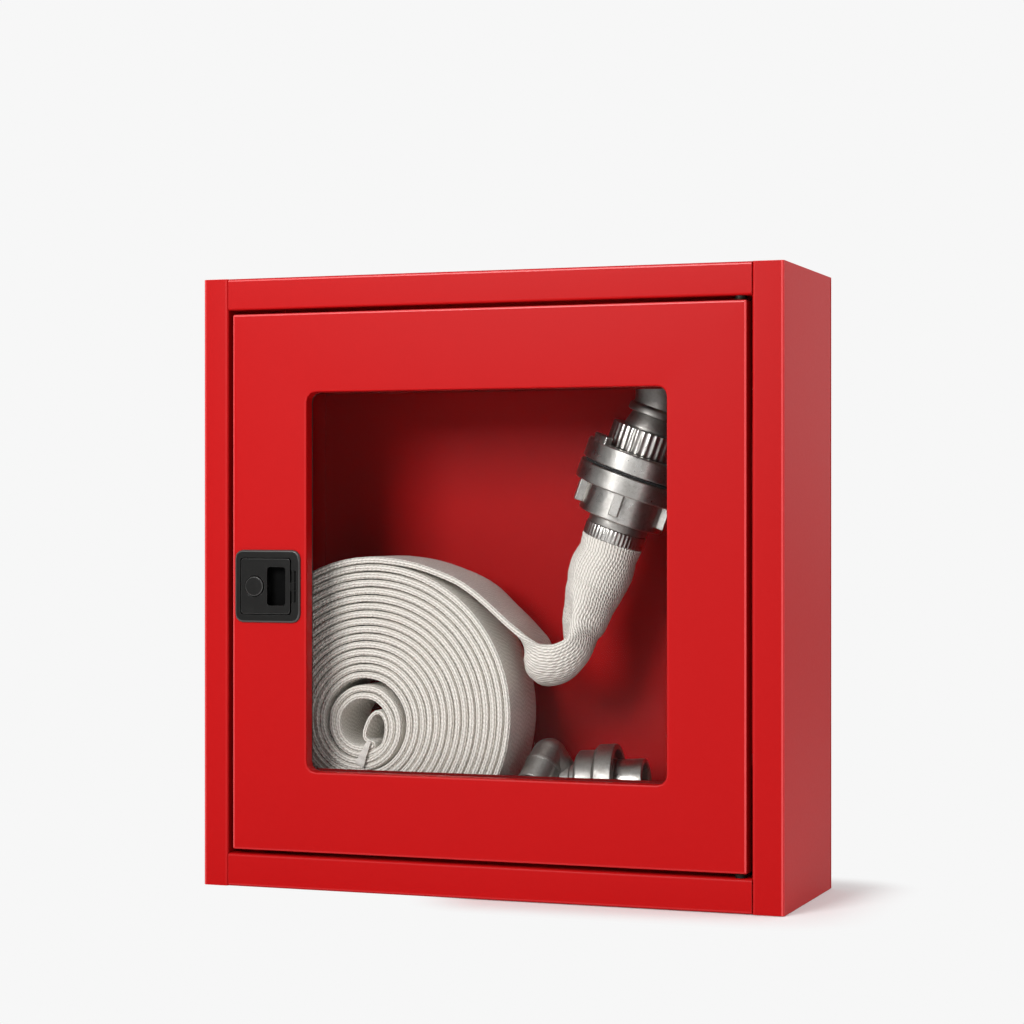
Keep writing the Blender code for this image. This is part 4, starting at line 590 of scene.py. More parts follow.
def fluted_ring(placement: Matrix, radius: float, bore: float, foot: float, top: float, waves: int,
                depth: float, edge: float) -> bmesh.types.BMesh:
    """Makes a ring with flutes along its outside.

    Args:
        placement: Its Z is the ring's axis.
        radius: Radius at the crests.
        bore: Radius of the hole.
        foot: Height of the lower face.
        top: Height of the upper face.
        waves: How many flutes.
        depth: Their depth.
        edge: How far the rims are chamfered.

    Returns:
        The ring.
    """
    count = waves * 6
    levels = ((radius - depth - edge, foot, 0.0), (radius - edge / 2, foot + edge / 2, depth * 0.6),
              (radius, foot + edge * 1.5, depth), (radius, top - edge * 1.5, depth),
              (radius - edge / 2, top - edge / 2, depth * 0.6), (radius - depth - edge, top, 0.0),
              (bore, top, 0.0), (bore, foot, 0.0))
    rows = [circle(placement @ Matrix.Translation((0, 0, height)), reach, count, waves, cut)
            for reach, height, cut in levels]
    return lofted(rows, closed=True)[0]


def block(low: Vector, high: Vector, placement: Matrix, soft: float) -> bmesh.types.BMesh:
    """Makes a block with rounded edges.

    Args:
        low: Lowest corner, in the placement.
        high: Highest corner.
        placement: Where it stands.
        soft: Radius of its edges.

    Returns:
        The block.
    """
    mesh = bmesh.new()
    size = Matrix.Diagonal((*(high - low), 1.0))
    bmesh.ops.create_cube(mesh, size=1.0, matrix=Matrix.Translation((low + high) / 2) @ size)
    bmesh.ops.bevel(mesh, geom=list(mesh.edges), offset=soft, offset_type="OFFSET", affect="EDGES", segments=3,
                    profile=0.5, material=-1, clamp_overlap=True)
    mesh.transform(placement)
    return mesh


def gathered(shapes: Iterable[bmesh.types.BMesh]) -> bmesh.types.BMesh:
    """Puts closed shapes into one mesh.

    Args:
        shapes: The shapes, which are used up.

    Returns:
        One mesh that holds them all.
    """
    whole = bmesh.new()
    for shape in shapes:
        bmesh.ops.recalc_face_normals(shape, faces=shape.faces)
        carrier = bpy.data.meshes.new("carrier")
        shape.to_mesh(carrier)
        shape.free()
        whole.from_mesh(carrier)
        bpy.data.meshes.remove(carrier)
    return whole


@dataclass
class Workshop:
    """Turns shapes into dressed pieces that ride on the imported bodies."""

    palette: Palette
    made: list[bpy.types.Object] = field(default_factory=list)

    def piece(self, name: str, mesh: bmesh.types.BMesh, material: bpy.types.Material, slot: Slot, body: str,
              *nodes: str, sharp: float = 40.0, merge: bool = True, weighted: bool = False) -> bpy.types.Object:
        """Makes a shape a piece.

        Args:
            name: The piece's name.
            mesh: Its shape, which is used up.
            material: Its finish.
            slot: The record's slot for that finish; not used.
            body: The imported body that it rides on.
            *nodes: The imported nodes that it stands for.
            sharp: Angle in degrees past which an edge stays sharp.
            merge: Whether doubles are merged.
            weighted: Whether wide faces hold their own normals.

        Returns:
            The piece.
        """
        if merge:
            bmesh.ops.remove_doubles(mesh, verts=mesh.verts, dist=1e-6)
        bmesh.ops.recalc_face_normals(mesh, faces=mesh.faces)
        data = bpy.data.meshes.new(name)
        mesh.to_mesh(data)
        mesh.free()
        data.shade_smooth()
        data.set_sharp_from_angle(angle=math.radians(sharp))
        data.materials.append(material)
        made = bpy.data.objects.new(name, data)
        bpy.context.scene.collection.objects.link(made)
        if weighted:
            step = made.modifiers.new("wide_faces", "WEIGHTED_NORMAL")
            step.keep_sharp = True
        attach(made, body)
        if nodes:
            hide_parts(*nodes)
        self.made.append(made)
        LOG.info("%s: %d faces on %s", name, len(data.polygons), body)
        return made


@dataclass(frozen=True)
class Station:
    """A place on the hose with the lie and size of its section."""

    place: Vector
    wide: Vector
    half_width: float
    half_thickness: float
    cup: float = 0.0


@dataclass
class Hose:
    """The lay-flat hose: its doubled roll, the lead to the valve, the run to the far end and the tie."""

    workshop: Workshop
    width: float = 0.085
    packed_thickness: float = 0.0058
    thickness: float = 0.0071
    pitch: float = 0.00737
    eye: float = 0.024
    eye_shift: Vector = field(default_factory=lambda: Vector((-0.0105, 0.0, -0.015)))
    middle_x: float = -0.1525
    fold_angle: float = math.radians(306.0)
    turns: int = 8
    coarse: int = 24
    fine: int = 72
    end_radius: float = 0.033
    straight: float = 0.014
    lead_route: tuple = (
        ((-0.1030, 0.0000, 0.3436), (0.00, -1.00, 0.00), 0.0425, 0.0035),
        ((-0.0806, 0.0000, 0.3372), (0.00, -1.00, 0.00), 0.0425, 0.0034),
        ((-0.0540, 0.0000, 0.3270), (0.00, -1.00, 0.00), 0.0425, 0.0034),
        ((-0.0345, 0.0000, 0.3152), (0.00, -1.00, 0.00), 0.0425, 0.0034),
        ((-0.0160, 0.0000, 0.2995), (0.00, -1.00, 0.03), 0.0425, 0.0033),
        ((0.0019, 0.0000, 0.2835), (0.00, -1.00, 0.04), 0.0425, 0.0034),
        ((0.0125, 0.0000, 0.2736), (-0.01, -1.00, 0.08), 0.0426, 0.0034, 0.0020),
        ((0.0226, -0.0013, 0.2644), (-0.01, -0.99, 0.12), 0.0416, 0.0036, 0.0070),
        ((0.0311, -0.0053, 0.2529), (0.03, -0.96, 0.28), 0.0388, 0.0038, 0.0150),
        ((0.0375, -0.0078, 0.2422), (0.12, -0.88, 0.46), 0.0395, 0.0040, 0.0210),
        ((0.0476, -0.0103, 0.2415), (0.16, -0.86, 0.48), 0.0374, 0.0040, 0.0200),
        ((0.0576, -0.0125, 0.2485), (0.20, -0.89, 0.41), 0.0332, 0.0041, 0.0210),
        ((0.0649, -0.0143, 0.2589), (0.31, -0.90, 0.30), 0.0291, 0.0046, 0.0210),
        ((0.0692, -0.0145, 0.2748), (0.47, -0.88, 0.10), 0.0272, 0.0080, 0.0210),
        ((0.0721, -0.0110, 0.2864), (0.49, -0.87, 0.05), 0.0290, 0.0145, 0.0185),
        ((0.0747, -0.0070, 0.2973), (0.46, -0.89, 0.03), 0.0315, 0.0222, 0.0118),
        ((0.0793, -0.0025, 0.3084), (0.41, -0.91, 0.03), 0.0337, 0.0285, 0.0050),
        ((0.0858, 0.0025, 0.3199), (0.36, -0.93, 0.02), 0.0343, 0.0315, 0.0012),
        ((0.0945, 0.0065, 0.3400), (0.34, -0.94, 0.00), 0.0343, 0.0340),
    )
    run_route: tuple = (
        ((-0.0112, 0.000, 0.1040), (0.00, -1.00, 0.00), 0.0425, 0.0034),
        ((-0.0040, 0.000, 0.0800), (0.00, -1.00, 0.00), 0.0425, 0.0034),
        ((0.0200, 0.000, 0.0600), (0.00, -1.00, 0.00), 0.0425, 0.0033),
        ((0.0540, 0.000, 0.0455), (0.00, -1.00, 0.00), 0.0425, 0.0032),
        ((0.0880, 0.000, 0.0385), (0.00, -1.00, 0.00), 0.0425, 0.0032),
        ((0.1160, 0.000, 0.0425), (0.00, -1.00, 0.00), 0.0420, 0.0055),
        ((0.1400, 0.000, 0.0520), (0.00, -1.00, 0.00), 0.0400, 0.0100),
        ((0.1640, 0.000, 0.0690), (0.00, -1.00, 0.00), 0.0370, 0.0180),
    )
    loose: float = 0.0060
    fold: tuple = ((0.0255, -0.0208), (0.0290, -0.0100), (0.0292, 0.0008), (0.0262, 0.0092), (0.0212, 0.0132),
                   (0.0156, 0.0122), (0.0103, 0.0066), (0.0064, -0.0008), (0.0040, -0.0085), (0.0046, -0.0148),
                   (0.0088, -0.0184), (0.0135, -0.0199))

    def radius(self, turns: float, layer: int) -> float:
        """Gives a strand's radius after some turns from the fold."""
        return self.eye + self.packed_thickness / 2 + (layer + 2 * turns) * self.pitch

    def centre(self) -> Vector:
        """Gives the middle of the outer turns, which rest on the floor."""
        lowest = (self.fold_angle - math.radians(270.0)) / math.tau + self.turns
        reach = self.radius(lowest, 1) + self.packed_thickness / 2
        return Vector((self.middle_x, 0.0, FLOOR_TOP + FIT + reach))

    def strand(self, step: float, layer: int) -> Vector:
        """Finds a point of a strand.

        Args:
            step: Coarse steps from the fold.
            layer: 0 for the inner strand, 1 for the outer one.

        Returns:
            The point, with the slight unevenness of hand rolling.
        """
        turns = step / self.coarse
        radius = self.radius(turns, layer)
        inner, outer = self.radius(0, 0), self.radius(self.turns, 1)
        share = 1 - (radius - inner) / (outer - inner)
        angle = self.fold_angle - turns * math.tau
        spoke = Vector((math.cos(angle), 0.0, math.sin(angle)))
        calm = max(0.0, min(1.0, (self.turns * self.coarse + 8 - step) / 12))
        uneven = noise.noise(spoke * 1.6 + Vector((0, radius * 9.0, 0))) * 0.00055 * calm
        slack = self.loose * max(0.0, math.sin(math.pi * min(turns / 1.15, 1.0)))
        return self.centre() + self.eye_shift * share + spoke * (radius + uneven - slack)

    def rolled(self, first: float, last: float, layer: int) -> list[Station]:
        """Lays stations along a strand.

        Args:
            first: Coarse step where the stretch starts.
            last: Coarse step where it ends.
            layer: The strand.

        Returns:
            The stations, about five degrees apart.
        """
        count = max(1, round((last - first) * self.fine / self.coarse))
        stations = []
        for i in range(count + 1):
            step = first + (last - first) * i / count
            place = self.strand(step, layer)
            calm = max(0.0, min(1.0, (self.turns * self.coarse + 9 - step) / 8))
            drift = noise.noise(Vector((step * 0.16, layer * 7.3, 2.0))) * 0.0011 * calm
            stations.append(Station(place + Vector((0, drift, 0)), Vector((0, -1, 0)), self.width / 2,
                                    self.thickness / 2))
        return stations

    def smoothed(self, stations: Sequence[Station], between: int) -> list[Station]:
        """Adds stations on a smooth curve through the given ones.

        Args:
            stations: The stations that the curve passes through.
            between: How many steps each stretch is cut into.

        Returns:
            The finer row.
        """
        padded = [stations[0], *stations, stations[-1]]
        finer = [stations[0]]
        for a, b, c, d in zip(padded, padded[1:], padded[2:], padded[3:]):
            for i in range(1, between + 1):
                t = i / between

                def curve(p, q, r, s):
                    return (q * 2 + (r - p) * t + (p * 2 - q * 5 + r * 4 - s) * t ** 2
                            + (q * 3 - r * 3 + s - p) * t ** 3) * 0.5

                finer.append(Station(curve(a.place, b.place, c.place, d.place),
                                     curve(a.wide, b.wide, c.wide, d.wide),
                                     curve(a.half_width, b.half_width, c.half_width, d.half_width),
                                     curve(a.half_thickness, b.half_thickness, c.half_thickness, d.half_thickness),
                                     curve(a.cup, b.cup, c.cup, d.cup)))
        return finer

    def section(self, station: Station, way: Vector) -> list[Vector]:
        """Draws the hose's outline across its path: two plies with folded edges that open to a round.

        Args:
            station: The place and size.
            way: The direction of the path there.

        Returns:
            The outline's points.
        """
        way = way.normalized()
        half, thin = station.half_width, station.half_thickness
        opened = max(0.0, min(1.0, (thin - 0.0036) / 0.016))
        opened = opened * opened * (3 - 2 * opened)
        wide = (station.wide - way * station.wide.dot(way) * opened).normalized()
        thick = way.cross(wide).normalized()
        flat = max(half - thin, 0.001)
        cup = max(0.0, station.cup)
        bend = min(cup, flat ** 2 / (2.4 * thin))
        outline = []
        for side in (1, -1):
            for i in range(9):
                angle = math.pi * (i / 8 - 0.5)
                crease = 1 - 0.10 * math.exp(-(angle / 0.22) ** 2)
                outline.append((side * (flat + thin * math.cos(angle) * crease), side * thin * math.sin(angle)))
            for i in range(1, 6):
                outline.append((side * flat * (1 - i / 3), side * thin))
        count = len(outline)
        points = []
        for i, (x, y) in enumerate(outline):
            angle = math.tau * (i - 4) / count
            x += (half * math.cos(angle) - x) * opened
            y += (thin * math.sin(angle) - y) * opened
            held = max(-flat, min(flat, x))
            slope = 2 * bend * held / flat ** 2
            stretch = math.hypot(1.0, slope)
            across = held + (x - held + slope * y) / stretch
            down = (bend * (1 - (held / flat) ** 2) + (y - slope * (x - held)) / stretch
                    + (cup - bend) * (1 - (x / half) ** 2))
            points.append(station.place + wide * across + thick * down)
        return points

    def ways(self, stations: Sequence[Station], end: Vector | None = None) -> list[Vector]:
        """Gives the path's direction at each station, with a fixed one at the end where it is asked for."""
        places = [station.place for station in stations]
        found = [(b - a).normalized() for a, b in zip(places[:1] + places[:-1], places[1:] + places[-1:])]
        if end:
            found[-1] = found[-2] = end
        return found

    def skinned(self, stations: Sequence[Station], ways: Sequence[Vector], start: float) -> bmesh.types.BMesh:
        """Draws the section along the stations and gives the skin its UV map in metres.

        Args:
            stations: The stations.
            ways: The path's direction at each.
            start: Length of hose before the first station.

        Returns:
            The skin.
        """
        rows = [self.section(station, way) for station, way in zip(stations, ways)]
        mesh, loops = lofted(rows, closed=False)
        spot, girth, along = {}, [], start
        for i, (row, loop) in enumerate(zip(rows, loops)):
            along += (stations[i].place - stations[i - 1].place).length if i else 0.0
            around = 0.0
            for j, vert in enumerate(loop):
                around += (row[j] - row[j - 1]).length if j else 0.0
                spot[vert] = (along, around, i, j)
            girth.append(around + (row[0] - row[-1]).length)
        layer = mesh.loops.layers.uv.new("lay")
        last = len(rows[0]) - 1
        for face in mesh.faces:
            wraps = len(face.verts) == 4 and {spot[v][3] for v in face.verts} == {0, last}
            for corner in face.loops:
                u, v, i, j = spot[corner.vert]
                corner[layer].uv = (u, girth[i] if wraps and j == 0 else v)
        return mesh

    def stations_of(self, route: Iterable[tuple]) -> list[Station]:
        """Turns plain route entries into stations."""
        return [Station(Vector(place), Vector(wide), *sizes) for place, wide, *sizes in route]

    def build_roll(self) -> bpy.types.Object:
        """Makes the doubled roll with its fold loop in the eye."""
        before = self.turns * self.coarse
        outer = self.rolled(0.0, before + 10 - 0.008, 1)[::-1]
        inner = self.rolled(0.0, before + 14 - 0.008, 0)
        eye = self.centre() + self.eye_shift
        bend = [Station(eye + Vector((x, 0.0, z)), Vector((0, -1, 0)), self.width / 2 - 0.0015, 0.0023)
                for x, z in self.fold]
        tip = self.smoothed([outer[-2], outer[-1], *bend, inner[1], inner[2]], 5)[6:-6]
        stations = outer + tip + inner[1:]
        mesh = self.skinned(stations, self.ways(stations), 0.0)
        return self.workshop.piece("rolled_hose", mesh, self.workshop.palette.weave, Slot.HOSE, "case", "hose_roll",
                                   sharp=80.0, merge=False)

    def build_stretch(self, name: str, node: str, lead_in: list[Station], route: list[Station], end: Vector,
                      axis: Vector) -> tuple[bpy.types.Object, list[Vector]]:
        """Makes a free stretch from the roll to a coupling.

        Args:
            name: The piece's name.
            node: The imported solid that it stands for.
            lead_in: Stations on the roll.
            route: Stations along the way.
            end: Where the coupling starts.
            axis: The coupling's axis.

        Returns:
            The piece and its path.
        """
        side = route[-1].wide
        foot = Station(end - axis * self.straight, side, self.end_radius, self.end_radius * 0.95)
        tail = Station(end, side, self.end_radius, self.end_radius)
        joined = self.smoothed([lead_in[-3], lead_in[-1], *route, foot], 6)[7:]
        stations = [*lead_in, *joined, *self.smoothed([foot, tail], 3)[1:]]
        mesh = self.skinned(stations, self.ways(stations, axis), 20.0)
        made = self.workshop.piece(name, mesh, self.workshop.palette.weave, Slot.HOSE, "case", node, sharp=80.0,
                                   merge=False)
        return made, [station.place for station in stations]

    def build_lead(self, foot: Vector, axis: Vector) -> bpy.types.Object:
        before = self.turns * self.coarse
        lead, path = self.build_stretch("hose_lead_length", "hose_lead", self.rolled(before + 10, before + 15, 1),
                                        self.stations_of(self.lead_route), foot - axis * FIT, axis)
        length = sum((b - a).length for a, b in zip(path, path[1:]))
        return lead

    def build_run(self, foot: Vector, axis: Vector) -> bpy.types.Object:
        before = self.turns * self.coarse
        run, path = self.build_stretch("hose_run_length", "hose_run", self.rolled(before + 14, before + 22, 0),
                                       self.stations_of(self.run_route), foot - axis * FIT, axis)
        length = sum((b - a).length for a, b in zip(path, path[1:]))
        return run

    def build_tie(self) -> bpy.types.Object:
        """Makes the tape that hangs from the fold over the edges of the inner turns."""
        face = -self.width / 2 - 0.0030
        top = self.centre() + self.eye_shift + Vector((0.0115, 0.0, -0.0175))
        down = Vector((-0.0115, 0.0, -0.0265))
        mesh = bmesh.new()
        bmesh.ops.create_grid(mesh, x_segments=4, y_segments=14, size=0.5)
        across = Vector((down.z, 0.0, -down.x)).normalized()
        for vert in mesh.verts:
            share = 0.5 - vert.co.y
            spread = 0.0046 + 0.0066 * share ** 1.2
            ripple = 0.0007 * math.sin(share * 19.0) - 0.0010 * math.sin(math.pi * share)
            vert.co = (top + down * share + across * vert.co.x * spread
                       + Vector((0.0, face - top.y + ripple + 0.0012 * (vert.co.x ** 2), 0.0)))
        layer = mesh.loops.layers.uv.new("lay")
        for facet in mesh.faces:
            for corner in facet.loops:
                offset = corner.vert.co - top
                corner[layer].uv = (offset.dot(down.normalized()), offset.dot(across))
        bmesh.ops.recalc_face_normals(mesh, faces=mesh.faces)
        bmesh.ops.solidify(mesh, geom=list(mesh.faces), thickness=0.0012)
        return self.workshop.piece("tie_tape", mesh, self.workshop.palette.tape, Slot.HOSE, "case", "roll_tie",
                                   sharp=60.0)


@dataclass
class HoseCoupling:
    """A lugged hose coupling half: tail, ribbed ferrule and lock ring."""

    workshop: Workshop
    label: str
    placement: Matrix
    ring_body: str
    bore: float = 0.022
    spigot: float = 0.028
    seat: float = 0.029
    ferrule_radius: float = 0.033
    ferrule_length: float = 0.014
    collar_radius: float = 0.032
    collar_length: float = 0.009
    hub_radius: float = 0.046
    hub_length: float = 0.031
    ring_radius: float = 0.060
    ring_length: float = 0.020
    lugs: int = 5
    first_lug: float = math.radians(-12.0)
    lug_width: float = 0.010
    lug_length: float = 0.024
    lug_proud: float = 0.008
    ribs: int = 46

    def heights(self) -> tuple[float, float, float]:
        """Gives the heights of the hub's foot, the shoulder and the sealing face."""
        hub = self.ferrule_length + self.collar_length
        return hub, hub + self.hub_length, hub + self.hub_length + self.ring_length

    def build(self) -> list[bpy.types.Object]:
        """Makes the three pieces.

        Returns:
            The tail, the ferrule and the lock ring.
        """
        hub, shoulder, face = self.heights()
        shop, collar = self.workshop, self.ferrule_length
        alloy = shop.palette.alloy
        tail = turned(((self.bore, 0.0), (self.seat, 0.0), (self.seat, collar), (self.collar_radius, collar),
                       (self.collar_radius, hub), (self.spigot, hub), (self.spigot, face), (self.bore, face)),
                      self.placement, 0.0006)
        ferrule = fluted_ring(self.placement, self.ferrule_radius, self.seat + FIT, 0.0, collar - FIT, self.ribs,
                              0.0007, 0.0006)
        bore = self.spigot + FIT
        ring = turned(((bore, hub + FIT), (self.hub_radius - 0.0012, hub + FIT), (self.hub_radius, hub + 0.0016),
                       (self.hub_radius, shoulder - 0.0012), (self.hub_radius + 0.0012, shoulder),
                       (self.ring_radius - 0.0010, shoulder), (self.ring_radius, shoulder + 0.0010),
                       (self.ring_radius, face - 0.0010), (self.ring_radius - 0.0010, face), (bore, face)),
                      self.placement, 0.0005, steps=96)
        lugs = []
        for i in range(self.lugs):
            place = self.placement @ Matrix.Rotation(self.first_lug + math.tau * i / self.lugs, 4, "Z")
            lugs.append(block(Vector((self.hub_radius - self.lug_proud / 2, -self.lug_width / 2,
                                      shoulder - self.lug_length)),
                              Vector((self.hub_radius + self.lug_proud, self.lug_width / 2,
                                      shoulder + self.ring_length / 4)), place, 0.0011))
        return [
            shop.piece(self.label + "_coupling_tail", tail, shop.palette.casting, Slot.ALLOY, "case",
                       self.label + "_tail"),
            shop.piece(self.label + "_coupling_ferrule", ferrule, alloy, Slot.ALLOY, "case",
                       self.label + "_ferrule", sharp=50.0),
            shop.piece(self.label + "_coupling_ring", gathered([ring, *lugs]), alloy, Slot.ALLOY, self.ring_body,
                       self.label + "_lock_ring", weighted=True),
        ]


@dataclass
class ValveCoupling:
    """The fixed half over the hose coupling: seal, claw ring, fluted nut, cone and outlet elbow."""

    workshop: Workshop
    placement: Matrix
    tilt: float
    face: float
    bore: float = 0.022
    spigot: float = 0.028
    seal_radius: float = 0.055
    seal_thickness: float = 0.0024
    ring_radius: float = 0.059
    ring_length: float = 0.0205
    claw_angle: float = math.radians(-58.0)
    claw_span: float = math.radians(24.0)
    claw_depth: float = 0.010
    claw_rise: float = 0.008
    nut_radius: float = 0.0405
    nut_length: float = 0.0251
    flutes: int = 36
    flute_depth: float = 0.0013
    cone_foot: float = 0.029
    cone_top: float = 0.0246
    cone_length: float = 0.0155
    bead_radius: float = 0.0305
    bead_length: float = 0.010
    elbow_radius: float = 0.027
    elbow_bend: float = 0.040

    def build(self) -> list[bpy.types.Object]:
        """Makes the five pieces.

        Returns:
            The pieces.
        """
        shop, place = self.workshop, self.placement
        seal = self.face + FIT
        upper = seal + self.seal_thickness + FIT
        upper_top = upper + self.ring_length
        nut_foot = upper_top + FIT
        nut_top = nut_foot + self.nut_length
        cone_foot = nut_top + FIT
        cone_top = cone_foot + self.cone_length
        gasket = turned(((self.bore, seal), (self.seal_radius, seal), (self.seal_radius, seal + self.seal_thickness),
                         (self.bore, seal + self.seal_thickness)), place, 0.0006)
        adapter = turned(((self.bore, upper), (self.spigot, upper), (self.spigot, cone_foot),
                          (self.cone_foot, cone_foot), (self.cone_foot, cone_foot + 0.0022),
                          (self.cone_top, cone_top), (self.bore, cone_top)), place, 0.0004)
        bore = self.spigot + FIT
        ring = turned(((bore, upper), (self.ring_radius - 0.0010, upper), (self.ring_radius, upper + 0.0010),
                       (self.ring_radius, upper_top - 0.0012), (self.ring_radius - 0.0012, upper_top),
                       (self.nut_radius + 0.0050, upper_top), (self.nut_radius + 0.0036, upper_top - 0.0012),
                       (bore, upper_top - 0.0012)), place, 0.0005, steps=96)
        nut = fluted_ring(place, self.nut_radius, bore, nut_foot, nut_top, self.flutes, self.flute_depth, 0.0008)
        return [
            shop.piece("coupling_seal_ring", gasket, shop.palette.rubber, Slot.RUBBER, "case", "coupling_seal"),
            shop.piece("outlet_cone", adapter, shop.palette.casting, Slot.ALLOY, "case", "outlet_adapter"),
            shop.piece("claw_ring", gathered([ring, self.claw(upper_top)]), shop.palette.alloy, Slot.ALLOY, "case",
                       "valve_lock_ring", weighted=True),
            shop.piece("fluted_nut", nut, shop.palette.alloy, Slot.ALLOY, "case", "union_nut", sharp=50.0),
            shop.piece("outlet_bend", self.elbow(cone_top + FIT), shop.palette.casting, Slot.ALLOY, "case",
                       "outlet_elbow"),
        ]

    def claw(self, upper_top: float) -> bmesh.types.BMesh:
        """Makes the claw that stands on the upper ring."""
        inner, outer = self.ring_radius - self.claw_depth, self.ring_radius - FIT
        sweep = [self.claw_angle + self.claw_span * (i / 10 - 0.5) for i in range(11)]
        outline = [Vector((outer * math.cos(a), outer * math.sin(a), upper_top - self.ring_length / 4)) for a in sweep]
        outline += [Vector((inner * math.cos(a), inner * math.sin(a), upper_top - self.ring_length / 4))
                    for a in sweep[::-1]]
        lift = Vector((0, 0, self.ring_length / 4 + self.claw_rise))
        mesh = lofted([outline, [point + lift for point in outline]], closed=False)[0]
        rim = [e for e in mesh.edges if len(e.link_faces) == 2 and e.calc_face_angle() > math.radians(50)]
        bmesh.ops.bevel(mesh, geom=rim, offset=0.0014, offset_type="OFFSET", affect="EDGES", segments=3, profile=0.5,
                        material=-1, clamp_overlap=True)
        mesh.transform(self.placement)
        return mesh

    def elbow(self, bead: float) -> bmesh.types.BMesh:
        """Makes the bend that rises from the tilted cone and turns level to the valve."""
        axis = self.placement.to_3x3() @ Vector((0, 0, 1))
        rise = ((0.0, self.bead_radius - 0.0012), (0.0012, self.bead_radius), (self.bead_length * 0.68, self.bead_radius),
                (self.bead_length * 0.80, self.bead_radius - 0.0010), (self.bead_length, self.elbow_radius))
        stations = [(self.placement @ Vector((0, 0, bead + height)), axis, radius) for height, radius in rise]
        for first, last, steps in ((self.tilt, 0.0, 4), (0.0, math.pi / 2, 16)):
            side = math.copysign(self.elbow_bend, last - first)
            centre = stations[-1][0] + Vector((math.cos(first), 0.0, -math.sin(first))) * side
            for step in range(1, steps + 1):
                lean = first + (last - first) * step / steps
                place = centre - Vector((math.cos(lean), 0.0, -math.sin(lean))) * side
                stations.append((place, Vector((math.sin(lean), 0.0, math.cos(lean))), self.elbow_radius))
        side = Vector((0, 1, 0))
        rows = [circle(axis_frame(place, way, side), radius, 56) for place, way, radius in stations]
        rows += [circle(axis_frame(place, way, side), self.bore, 56) for place, way, _ in stations[::-1]]
        return lofted(rows, closed=True)[0]


